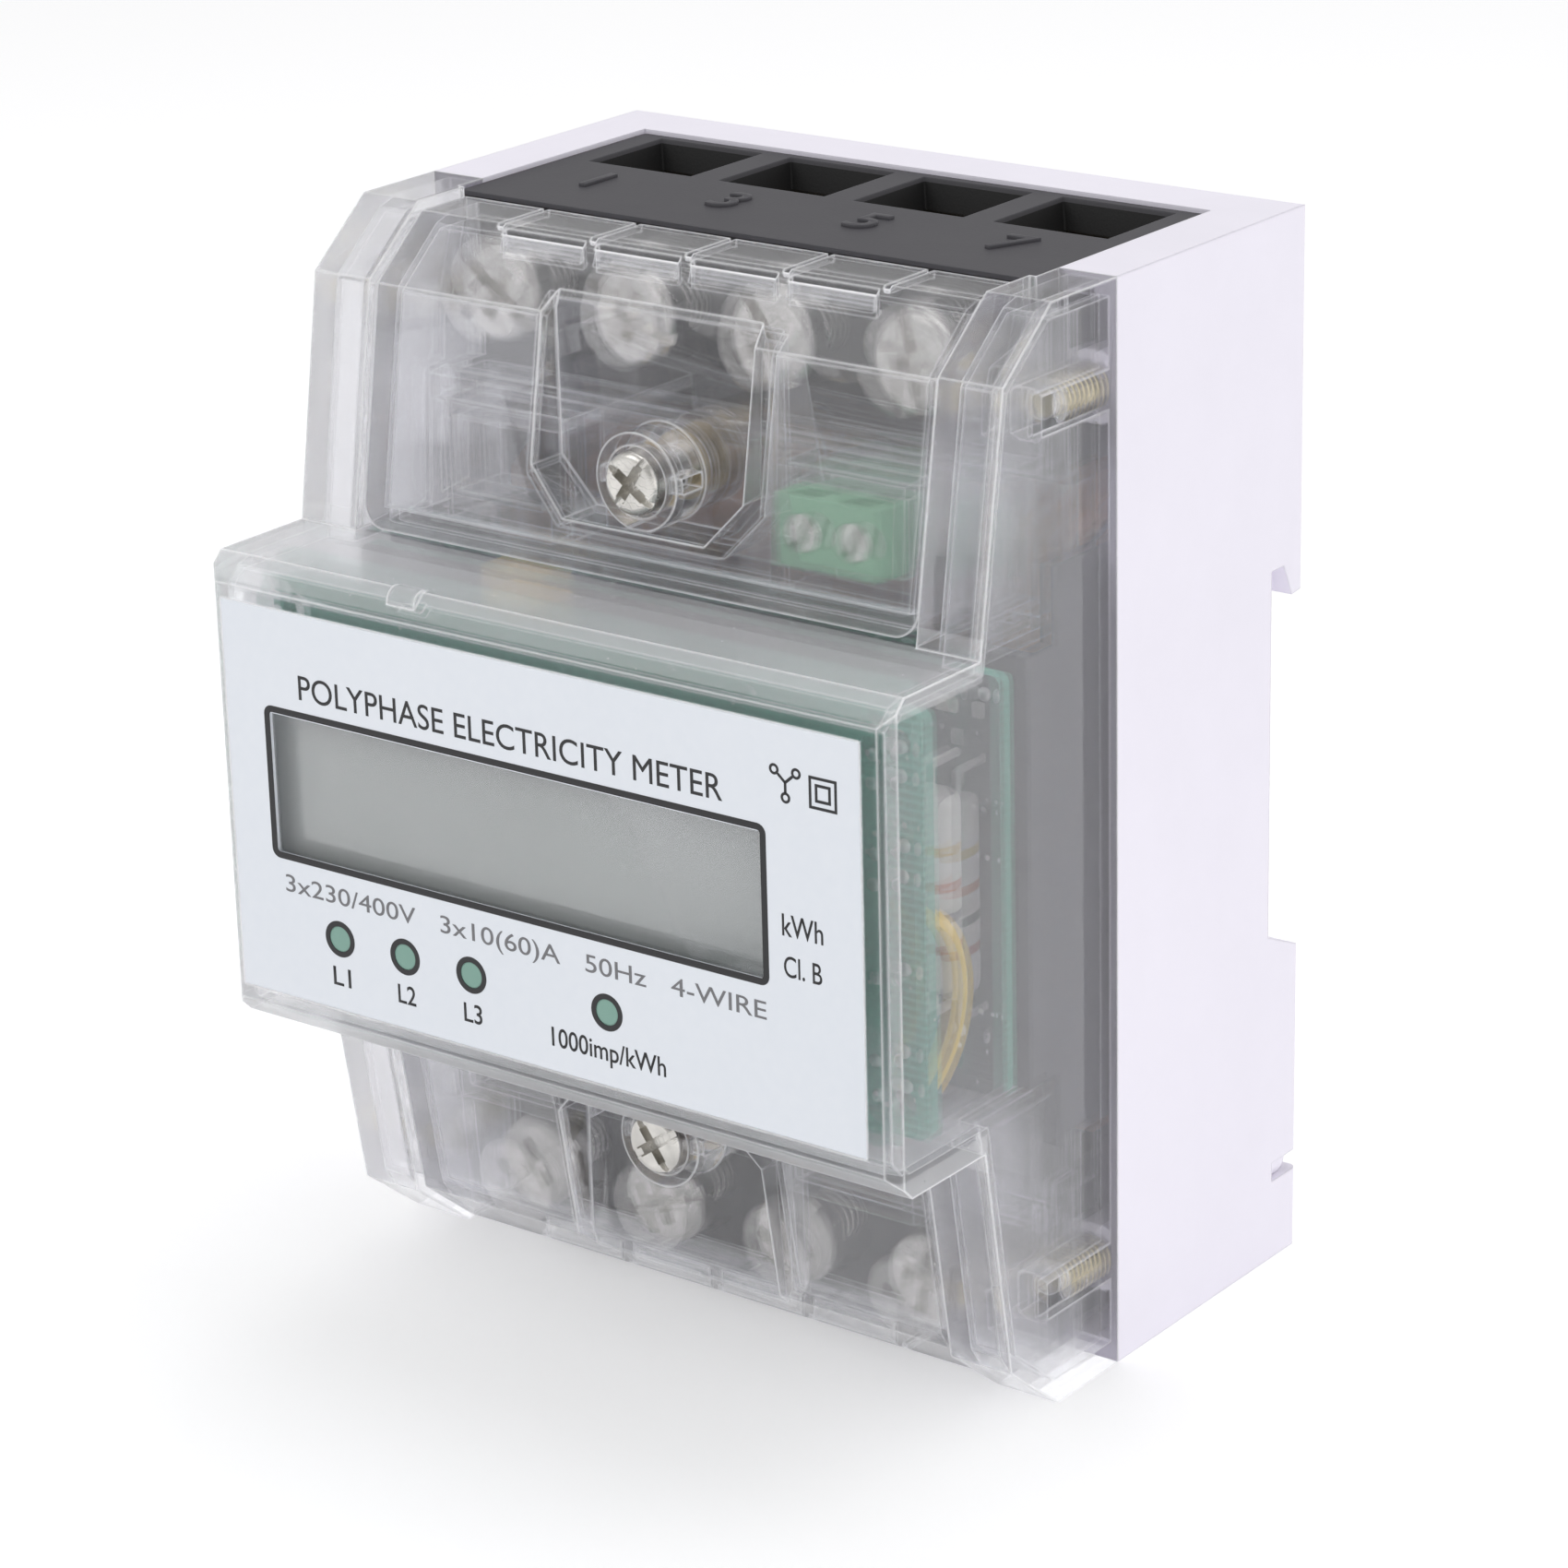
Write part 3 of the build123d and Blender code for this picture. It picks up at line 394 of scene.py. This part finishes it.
MATERIALS = {
    "white_base": moulded_plastic("white moulded shell", rgb(0.885, 0.855, 0.945), 0.44),
    "clip_plastic": moulded_plastic("white clip nylon", rgb(0.86, 0.835, 0.91), 0.40),
    "black_plastic": moulded_plastic("black moulded block", rgb(0.062, 0.060, 0.068), 0.55, 0.05,
                                     gloss=0.32, worn=1.5, recess_shade=(FUNNEL_FROM_MIDDLE, 0.95)),
    "clear_case": clear_plastic("clear case plastic", 0.040, 0.040, 0.050, 0.38, frosted=0.24),
    "clear_cover": clear_plastic("clear cover plastic", 0.010, 0.0, 0.02, 0.50,
                                 veil=0.045),
    "label": printed_film("label film"),
    "lcd": liquid_crystal("liquid crystal"),
    "board": circuit_board("green circuit board", BOARD_GREEN, BOARD_TRACK),
    "screw_steel": metal("nickel plate", NICKEL, 0.16),
    "zinc_steel": metal("yellow zinc plate", ZINC, 0.26),
    "spring_steel": metal("spring wire", rgb(0.55, 0.55, 0.57), 0.24),
    "brass": metal("machined brass", rgb(0.72, 0.58, 0.34), 0.26),
    "copper": metal("rolled copper", rgb(0.80, 0.44, 0.28), 0.30),
    "green_plastic": moulded_plastic("green connector plastic", rgb(0.19, 0.41, 0.25), 0.36, worn=1.25),
    "dark_frame": moulded_plastic("dark inner plastic", rgb(0.05, 0.05, 0.06), 0.55, worn=1.4),
    "sensor_resin": moulded_plastic("sensor housing", rgb(0.05, 0.08, 0.22), 0.42),
    "resistor_body": banded_body("banded resistor"),
    "yellow_wire": moulded_plastic("yellow insulation", rgb(0.85, 0.58, 0.06), 0.34),
    "capacitor_film": moulded_plastic("yellow capacitor", rgb(0.82, 0.56, 0.12), 0.38),
    "header_black": moulded_plastic("black pin strip", rgb(0.04, 0.04, 0.045), 0.46),
    "led_lens": moulded_plastic("diffused lens", rgb(0.20, 0.36, 0.30), 0.30),
}
# the main board, its front face in painted shade
SHADED_MAIN_BOARD = circuit_board("main circuit board", BOARD_GREEN, BOARD_TRACK,
                           painted_shade_front=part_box("main_pcb")[0][1] + 0.1 * MM)
SOLDER = metal("solder", rgb(0.82, 0.82, 0.82), 0.22)
CHIP_PALE = moulded_plastic("pale ceramic", rgb(0.52, 0.50, 0.46), 0.42)
INK_BLACK = ink("black ink", rgb(0.012, 0.012, 0.014))
INK_GREY = ink("grey ink", rgb(0.16, 0.16, 0.17))


def paint_cad():
    """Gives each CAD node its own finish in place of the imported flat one."""
    for entry in frame["record"]["subparts"]:
        node = NODES[entry["node"]]
        for place in node.material_slots:
            place.material = MATERIALS[entry["material_slot"]]
    NODES["main_pcb"].material_slots[0].material = SHADED_MAIN_BOARD


# ---- modelling tools ----------------------------------------------------------------------
def clear_selection():
    if bpy.context.mode != "OBJECT":
        bpy.ops.object.mode_set(mode="OBJECT")
    bpy.ops.object.select_all(action="DESELECT")


def only(piece):
    clear_selection()
    piece.select_set(True)
    bpy.context.view_layer.objects.active = piece


def settle(piece):
    """Puts the piece's place, turn and size into its mesh."""
    only(piece)
    bpy.ops.object.transform_apply(location=True, rotation=True, scale=True)
    return piece


def named(name):
    piece = bpy.context.active_object
    piece.name = name
    piece.data.name = name
    return piece


def slab_piece(name, low, high):
    """A box between two corners, as a start for a piece."""
    clear_selection()
    middle = [(a + b) / 2 for a, b in zip(low, high)]
    size = [b - a for a, b in zip(low, high)]
    bpy.ops.mesh.primitive_cube_add(size=1.0, location=middle, scale=size)
    return settle(named(name))


def round_piece(name, radius, near, far, x, z, sides=48):
    """A round bar along Y between near and far, as a start for a piece."""
    clear_selection()
    bpy.ops.mesh.primitive_cylinder_add(vertices=sides, radius=radius, depth=far - near,
                                        location=(x, (near + far) / 2, z),
                                        rotation=(math.radians(90.0), 0.0, 0.0))
    return settle(named(name))


def pick_faces(piece, test):
    """Enters edit mode with only the faces that pass the test selected."""
    only(piece)
    bpy.ops.object.mode_set(mode="EDIT")
    bpy.ops.mesh.select_mode(type="FACE")
    bpy.ops.mesh.select_all(action="DESELECT")
    mesh = bmesh.from_edit_mesh(piece.data)
    for face in mesh.faces:
        face.select = test(face)
    bmesh.update_edit_mesh(piece.data)


def leave_edit():
    bpy.ops.object.mode_set(mode="OBJECT")


def bevel(piece, width, segments=2, angle=30.0):
    only(piece)
    step = piece.modifiers.new("soft edges", "BEVEL")
    step.width = width
    step.segments = segments
    step.limit_method = "ANGLE"
    step.angle_limit = math.radians(angle)
    step.harden_normals = False
    bpy.ops.object.modifier_apply(modifier=step.name)
    return piece


def smooth(piece, angle=35.0):
    only(piece)
    bpy.ops.object.shade_smooth_by_angle(angle=math.radians(angle))
    return piece


def copy_piece(piece, name, shift):
    """A copy with its own mesh, moved by shift in its mesh."""
    twin = piece.copy()
    twin.data = piece.data.copy()
    bpy.context.collection.objects.link(twin)
    twin.data.transform(Matrix.Translation(shift))
    twin.name = name
    twin.data.name = name
    return twin


def dress(piece, material, body):
    """Gives the piece its finish and lets it ride on its body."""
    piece.data.materials.clear()
    piece.data.materials.append(material)
    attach(piece, body)
    return piece


# ---- printed label ------------------------------------------------------------------------
LABEL_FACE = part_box("display_label")[0][1]
INK_DEEP = 0.06 * MM
INK_PROUD = 0.02 * MM
CAP_SHARE = 0.729               # capital height as a share of the em


def printed(piece, finish=INK_BLACK):
    """Gives a flat piece on the label its ink thickness."""
    pick_faces(piece, lambda face: True)
    bpy.ops.mesh.extrude_region_move(TRANSFORM_OT_translate={"value": (0.0, INK_DEEP, 0.0)})
    bpy.ops.mesh.select_all(action="SELECT")
    bpy.ops.mesh.normals_make_consistent(inside=False)
    leave_edit()
    piece.data.transform(Matrix.Translation((0.0, LABEL_FACE - INK_PROUD, 0.0)))
    return dress(piece, finish, "meter")


def words_mesh(name, words, weight):
    """Plain lettering as a flat mesh in the XZ plane, one unit to the em."""
    clear_selection()
    bpy.ops.object.text_add()
    text = bpy.context.active_object
    text.data.body = words
    text.data.offset = weight
    text.data.resolution_u = 6
    bpy.ops.object.convert(target="MESH")
    piece = named(name)
    piece.rotation_euler = (math.radians(90.0), 0.0, 0.0)
    return settle(piece)


def span(piece, axis):
    values = [vertex.co[axis] for vertex in piece.data.vertices]
    return min(values), max(values)


def print_words(name, words, x_span, baseline, cap, weight=0.0, finish=INK_BLACK):
    """Prints words between two X places with their feet on the baseline, in millimetres."""
    piece = words_mesh(name, words, weight)
    left, right = span(piece, 0)
    x_scale = (x_span[1] - x_span[0]) * MM / (right - left)
    z_scale = cap * MM / CAP_SHARE
    piece.scale = (x_scale, 1.0, z_scale)
    piece.location = (x_span[0] * MM - left * x_scale, 0.0, baseline * MM)
    return printed(settle(piece), finish)


def print_ring(name, x_span, z_span, stroke, corner=0.0, sides=4):
    """Prints a closed outline: a box with soft corners, or a circle when it has many sides."""
    clear_selection()
    centre = (sum(x_span) / 2 * MM, 0.0, sum(z_span) / 2 * MM)
    size = ((x_span[1] - x_span[0]) * MM, (z_span[1] - z_span[0]) * MM, 1.0)
    if sides == 4:
        bpy.ops.mesh.primitive_plane_add(size=1.0, location=centre, scale=size,
                                         rotation=(math.radians(90.0), 0.0, 0.0))
        bpy.context.active_object.scale = size
    else:
        bpy.ops.mesh.primitive_circle_add(vertices=sides, radius=size[0] / 2, fill_type="NGON",
                                          location=centre, rotation=(math.radians(90.0), 0.0, 0.0))
    piece = settle(named(name))
    pick_faces(piece, lambda face: True)
    if corner:
        bpy.ops.mesh.bevel(affect="VERTICES", offset=corner * MM, segments=5)
        bpy.ops.mesh.select_all(action="SELECT")
    bpy.ops.mesh.inset(thickness=stroke * MM)
    bpy.ops.mesh.delete(type="FACE")
    leave_edit()
    return printed(piece)


def print_bar(name, start, end, width):
    """Prints a straight stroke between two points of the label."""
    clear_selection()
    (x0, z0), (x1, z1) = start, end
    length = math.hypot(x1 - x0, z1 - z0)
    bpy.ops.mesh.primitive_plane_add(size=1.0, location=(0.0, 0.0, 0.0))
    piece = named(name)
    piece.scale = (length * MM, width * MM, 1.0)
    settle(piece)
    pick_faces(piece, lambda face: True)
    bpy.ops.mesh.bevel(affect="VERTICES", offset=width * 0.3 * MM, segments=2)
    leave_edit()
    piece.rotation_euler = (math.radians(90.0), -math.atan2(z1 - z0, x1 - x0), 0.0)
    piece.location = ((x0 + x1) / 2 * MM, 0.0, (z0 + z1) / 2 * MM)
    return printed(settle(piece))


WINDOW_X, WINDOW_Z = (-31.7, 25.1), (45.8, 60.5)
WINDOW_STROKE, WINDOW_CORNER = 0.62, 0.9
# name, words, X span, baseline, capital height, weight, ink
LABEL_WORDS = (
    ("label_title", "POLYPHASE ELECTRICITY METER", (-27.3, 20.6), 61.7, 2.45, 0.0, INK_BLACK),
    ("label_rating", "3x230/400V   3x10(60)A   50Hz   4-WIRE", (-30.3, 24.7), 42.7, 1.75, 0.0,
     INK_GREY),
    ("label_unit", "kWh", (26.6, 30.9), 50.9, 2.1, 0.004, INK_BLACK),
    ("label_class", "Cl. B", (26.7, 30.7), 47.2, 2.0, 0.002, INK_BLACK),
)
LED_X = (-24.0, -16.2, -8.4, 7.1)
LED_Z = 39.3
LED_RING_R, LED_RING_STROKE = 1.75, 0.52
# words and half width of each lamp's caption
LED_CAPTIONS = (("L1", 1.05), ("L2", 1.05), ("L3", 1.05), ("1000imp/kWh", 6.4))
CAPTION_BASE, CAPTION_CAP, CAPTION_WEIGHT = 34.7, 1.9, 0.006
STAR_HUB = (27.3, 64.7)
STAR_TIPS = ((-1.15, 1.0), (1.15, 1.0), (0.0, -1.35))
STAR_ARM_SHARE = 0.68           # of the way to the tip, where the arm meets the ring
STAR_RING_R, STAR_RING_STROKE = 0.5, 0.24
SQUARE_CENTRE = (31.2, 64.4)
SQUARE_HALVES = (("double_square_outer", 1.45), ("double_square_inner", 0.82))
SYMBOL_STROKE = 0.26


def around(centre, half):
    """The X span and Z span of a square round a centre."""
    return tuple((place - half, place + half) for place in centre)


def print_label():
    print_ring("display_border", WINDOW_X, WINDOW_Z, WINDOW_STROKE, corner=WINDOW_CORNER)
    for row in LABEL_WORDS:
        print_words(*row)
    for i, (x, (words, wide)) in enumerate(zip(LED_X, LED_CAPTIONS)):
        print_ring(f"led_ring_{i + 1}", *around((x, LED_Z), LED_RING_R), LED_RING_STROKE, sides=64)
        print_words(f"led_caption_{i + 1}", words, (x - wide, x + wide), CAPTION_BASE, CAPTION_CAP,
                    CAPTION_WEIGHT)
    hub_x, hub_z = STAR_HUB
    for i, (x, z) in enumerate(STAR_TIPS):
        near = (hub_x + x * STAR_ARM_SHARE, hub_z + z * STAR_ARM_SHARE)
        print_bar(f"star_arm_{i + 1}", STAR_HUB, near, SYMBOL_STROKE)
        print_ring(f"star_end_{i + 1}", *around((hub_x + x, hub_z + z), STAR_RING_R),
                   STAR_RING_STROKE, sides=32)
    for name, half in SQUARE_HALVES:
        print_ring(name, *around(SQUARE_CENTRE, half), SYMBOL_STROKE)


FILM_R, FILM_THICK, FILM_SUNK = 1.27, 0.3, 0.03
FILM_RIM, FILM_DISH, FILM_DISH_DEEP = 0.12, 0.5, 0.02


def make_led_windows():
    """Tinted film windows in the four lamp holes, flush with the label."""
    for i, x in enumerate(LED_X):
        near = LABEL_FACE + FILM_SUNK * MM
        window = round_piece(f"led_window_{i + 1}", FILM_R * MM, near, near + FILM_THICK * MM,
                             x * MM, LED_Z * MM)
        pick_faces(window, lambda face: face.normal.y < -0.9)
        bpy.ops.mesh.inset(thickness=FILM_RIM * MM)
        bpy.ops.mesh.inset(thickness=FILM_DISH * MM, depth=FILM_DISH_DEEP * MM)
        leave_edit()
        dress(smooth(window), MATERIALS["led_lens"], "meter")


# ---- terminal numbers ---------------------------------------------------------------------
TERMINAL_X = (-23.1, -7.7, 7.7, 23.1)
DIGIT_TALL, DIGIT_FOOT = 5.0, 5.0
DIGIT_RISE = 0.3 * MM
DIGIT_EDGE = 0.05 * MM


def raised_digit(number, x, face, up):
    """A moulded digit standing on a terminal block's wire face, its top towards the rail."""
    piece = words_mesh(f"terminal_number_{number}", str(number), 0.01)
    left, right = span(piece, 0)
    size = DIGIT_TALL * MM / CAP_SHARE
    pick_faces(piece, lambda f: True)
    bpy.ops.mesh.extrude_region_move(TRANSFORM_OT_translate={"value": (0.0, 0.5, 0.0)})
    bpy.ops.mesh.select_all(action="SELECT")
    bpy.ops.mesh.normals_make_consistent(inside=False)
    leave_edit()
    low_y, high_y = span(piece, 1)
    piece.data.transform(Matrix.Translation((-(left + right) / 2, -high_y, 0.0)))
    depth = 2.0 * DIGIT_RISE / (high_y - low_y)
    piece.data.transform(Matrix.Diagonal((size, depth, size, 1.0)))
    turn = -90.0 if up else 90.0
    side = 1.0 if up else -1.0
    piece.rotation_euler = (math.radians(turn), 0.0, 0.0)
    piece.location = (x * MM, DIGIT_FOOT * MM, face - side * DIGIT_RISE)
    settle(piece)
    if not up:
        piece.data.transform(Matrix.Translation((0.0, DIGIT_TALL * MM, 0.0)))
    bevel(piece, DIGIT_EDGE, segments=1, angle=50.0)
    return dress(piece, MATERIALS["black_plastic"], "meter")


def make_digits():
    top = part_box("terminal_block_upper")[1][2]
    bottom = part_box("terminal_block_lower")[0][2]
    for i, x in enumerate(TERMINAL_X):
        raised_digit(2 * i + 1, x, top, True)
        raised_digit(2 * i + 2, x, bottom, False)


# ---- small parts on the boards ------------------------------------------------------------
BEAD_R, BEAD_TALL = 0.62, 0.22
BEAD_STEPS = ((0.16, 0.14), (0.20, 0.08))   # inwards and upwards
BOARD_SINK = 0.05               # how far a small part reaches into its board
DISPLAY_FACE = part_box("display_pcb")[0][1]
MAIN_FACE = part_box("main_pcb")[0][1]
DISPLAY_BEADS = ((33.4, 67.2), (33.3, 64.6), (33.5, 58.4), (33.3, 55.6), (33.4, 47.2), (33.2, 39.6),
                 (33.4, 36.4))
MAIN_BEADS = ((34.0, 68.7), (31.0, 37.2), (27.0, 68.4), (24.2, 68.4))
MAIN_CHIPS = ((30.2, 67.2), (25.4, 64.4), (25.4, 60.6), (25.4, 55.0))
CHIP_HALF_X, CHIP_HALF_Z, CHIP_TALL = 1.05, 0.65, 0.55
CHIP_RIM, CHIP_STEP, CHIP_EDGE = 0.12, 0.05, 0.06


def dome(name, face):
    """A low solder dome standing on a board's front face at X = Z = 0."""
    near, far = face - BEAD_TALL * MM, face + BOARD_SINK * MM
    piece = round_piece(name, BEAD_R * MM, near, far, 0.0, 0.0, sides=24)
    pick_faces(piece, lambda side: side.normal.y < -0.9)
    for inwards, upwards in BEAD_STEPS:
        bpy.ops.mesh.inset(thickness=inwards * MM, depth=upwards * MM)
    leave_edit()
    return dress(smooth(piece, 60.0), SOLDER, "meter")


def chip(name, face):
    """A small ceramic part with a stepped top, standing on a board's front face."""
    low = (-CHIP_HALF_X * MM, face - CHIP_TALL * MM, -CHIP_HALF_Z * MM)
    high = (CHIP_HALF_X * MM, face + BOARD_SINK * MM, CHIP_HALF_Z * MM)
    piece = slab_piece(name, low, high)
    pick_faces(piece, lambda side: side.normal.y < -0.9)
    bpy.ops.mesh.inset(thickness=CHIP_RIM * MM, depth=CHIP_STEP * MM)
    leave_edit()
    bevel(piece, CHIP_EDGE * MM, segments=2)
    return dress(smooth(piece), CHIP_PALE, "meter")


def spread(first, name, places):
    """Moves the first piece to the first place and puts a copy at each other one."""
    for i, (x, z) in enumerate(places[1:]):
        twin = copy_piece(first, f"{name}_{i + 2}", (x * MM, 0.0, z * MM))
        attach(twin, "meter")
    first.data.transform(Matrix.Translation((places[0][0] * MM, 0.0, places[0][1] * MM)))


def make_board_parts():
    spread(dome("display_bead_1", DISPLAY_FACE), "display_bead",
           DISPLAY_BEADS)
    spread(dome("main_bead_1", MAIN_FACE), "main_bead", MAIN_BEADS)
    spread(chip("main_chip_1", MAIN_FACE), "main_chip", MAIN_CHIPS)


# ---- clip spring and screw threads ---------------------------------------------------------
def wire_along(name, places, thickness):
    """A round wire with closed ends along a line of places, as a mesh."""
    curve = bpy.data.curves.new(name, "CURVE")
    curve.dimensions = "3D"
    curve.bevel_depth = thickness
    curve.bevel_resolution = 2
    curve.use_fill_caps = True
    line = curve.splines.new("POLY")
    line.points.add(len(places) - 1)
    for point, place in zip(line.points, places):
        point.co = (*place, 1.0)
    wire = bpy.data.objects.new(name, curve)
    bpy.context.collection.objects.link(wire)
    only(wire)
    bpy.ops.object.convert(target="MESH")
    return smooth(settle(named(name)), 60.0)


SPRING_TURNS = 7.5
SPRING_WIRE = 0.28 * MM
SPRING_POINTS = 20              # points a turn


def make_spring():
    """Compression coil with a flattened half turn at each end."""
    low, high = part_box("clip_spring")
    centre = Vector([(a + b) / 2 for a, b in zip(low, high)])
    radius = (high[0] - low[0]) / 2 - SPRING_WIRE
    tall = high[2] - low[2] - 2 * SPRING_WIRE
    total = int(SPRING_TURNS * SPRING_POINTS)
    places = []
    for i in range(total + 1):
        share = i / total
        flat = max(0.0, min(1.0, (share * SPRING_TURNS - 0.5) / (SPRING_TURNS - 1.0)))
        angle = 2.0 * math.pi * SPRING_TURNS * share
        places.append((centre.x + radius * math.cos(angle), centre.y + radius * math.sin(angle),
                       low[2] + SPRING_WIRE + tall * flat))
    coil = wire_along("clip_spring_coil", places, SPRING_WIRE)
    dress(coil, MATERIALS["spring_steel"], "meter")
    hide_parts("clip_spring")
    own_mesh(coil)


THREAD_POINTS = 14              # points a turn
# shank radius, Y span, pitch and half thickness of the ridge
TERMINAL_THREAD = (2.46, (-3.8, 12.9), 0.8, 0.25)
SEAL_THREAD = (1.95, (-7.1, -6.2), 0.7, 0.2)
CASE_THREAD = (1.45, (-4.3, 4.5), 0.7, 0.2)
TERMINAL_SCREW_Z, SEAL_Z = (94.0, 8.0), (82.5, 19.5)
POST_X, POST_Z = (-34.5, 34.5), (10.0, 92.0)


def cut_thread(name, x, z, shank, span_y, pitch, ridge, slot, body):
    """A right-handed ridge wound on a screw's shank, along Y, in millimetres."""
    near, far = span_y
    total = int((far - near) / pitch * THREAD_POINTS)
    places = []
    for i in range(total + 1):
        angle = 2.0 * math.pi * i / THREAD_POINTS
        places.append(((x + shank * math.sin(angle)) * MM, (near + pitch * i / THREAD_POINTS) * MM,
                       (z + shank * math.cos(angle)) * MM))
    return dress(wire_along(name, places, ridge * MM), MATERIALS[slot], body)


def make_threads():
    for i, x in enumerate(TERMINAL_X):
        for j, z in enumerate(TERMINAL_SCREW_Z):
            number = 2 * i + j + 1
            cut_thread(f"terminal_thread_{number}", x, z, *TERMINAL_THREAD, "screw_steel",
                       f"terminal_screw_{number}")
    for half, z in zip(("upper", "lower"), SEAL_Z):
        cut_thread(f"seal_thread_{half}", 0.0, z, *SEAL_THREAD, "screw_steel",
                   f"seal_screw_{half}")
    corners = [(x, z) for x in POST_X for z in POST_Z]
    for i, (x, z) in enumerate(corners):
        cut_thread(f"case_thread_{i + 1}", x, z, *CASE_THREAD, "zinc_steel", "meter")


# ---- camera, light and backdrop -----------------------------------------------------------
CAMERA_AT = (0.2632, -0.3412, 0.2063)
CAMERA_YAW, CAMERA_PITCH, CAMERA_ROLL = 37.40, 20.04, -1.45
CAMERA_LENS = 114.1


def make_camera():
    data = bpy.data.cameras.new("studio camera")
    data.lens = CAMERA_LENS
    data.clip_start = 0.01
    camera = bpy.data.objects.new("studio camera", data)
    bpy.context.collection.objects.link(camera)
    turn = Matrix.Rotation(math.radians(CAMERA_YAW), 4, "Z")
    tilt = Matrix.Rotation(math.radians(90.0 - CAMERA_PITCH), 4, "X")
    roll = Matrix.Rotation(math.radians(CAMERA_ROLL), 4, "Z")
    camera.matrix_world = Matrix.Translation(CAMERA_AT) @ turn @ tilt @ roll
    bpy.context.scene.camera = camera


def soft_lamp(name, at, aim, size, power):
    data = bpy.data.lights.new(name, "AREA")
    data.shape = "RECTANGLE"
    data.size, data.size_y = size
    data.energy = power
    lamp = bpy.data.objects.new(name, data)
    bpy.context.collection.objects.link(lamp)
    lamp.location = at
    lamp.rotation_euler = (Vector(aim) - Vector(at)).to_track_quat("-Z", "Y").to_euler()


AIM = (0.0, 0.0, 0.05)
# place, size and power of each lamp
LAMPS = {
    "key softbox": ((-0.35, -0.55, 0.65), (0.5, 0.5), 1.3),
    "fill softbox": ((0.75, -0.15, 0.30), (0.6, 0.8), 0.8),
    "top softbox": ((0.05, 0.25, 0.80), (0.7, 0.5), 2.0),
}
SKY_STOPS = ((0.02, 1.0), (0.30, 0.56))     # height and level: bright at the horizon
FLOOR_SIZE = 6.0


def make_studio():
    world = bpy.data.worlds.new("studio")
    bpy.context.scene.world = world
    world.use_nodes = True
    tree = world.node_tree
    sky = tree.nodes["Background"]
    split = tree.nodes.new("ShaderNodeSeparateXYZ")
    fade = tree.nodes.new("ShaderNodeValToRGB")
    tree.links.new(tree.nodes.new("ShaderNodeTexCoord").outputs["Generated"], split.inputs[0])
    tree.links.new(split.outputs["Z"], fade.inputs[0])
    tree.links.new(fade.outputs["Color"], sky.inputs["Color"])
    for element, (height, level) in zip(fade.color_ramp.elements, SKY_STOPS):
        element.position = height
        element.color = (level, level, level, 1.0)
    sky.inputs["Strength"].default_value = 1.0
    for name, (place, size, power) in LAMPS.items():
        soft_lamp(name, place, AIM, size, power)
    clear_selection()
    bpy.ops.mesh.primitive_plane_add(size=FLOOR_SIZE, location=(0.0, 0.0, 0.0))
    floor = named("pale floor")
    pick_faces(floor, lambda face: True)
    bpy.ops.mesh.subdivide(number_cuts=2)
    leave_edit()
    floor.data.materials.append(pale_backdrop("pale floor paint"))
    view = bpy.context.scene.view_settings
    view.view_transform = "Standard"
    bounces = bpy.context.scene.cycles
    bounces.max_bounces = 16
    bounces.transmission_bounces = 16
    bounces.transparent_max_bounces = 24
    bounces.glossy_bounces = 5
    bounces.diffuse_bounces = 4


paint_cad()
print_label()
make_led_windows()
make_digits()
make_board_parts()
make_spring()
make_threads()
make_camera()
make_studio()
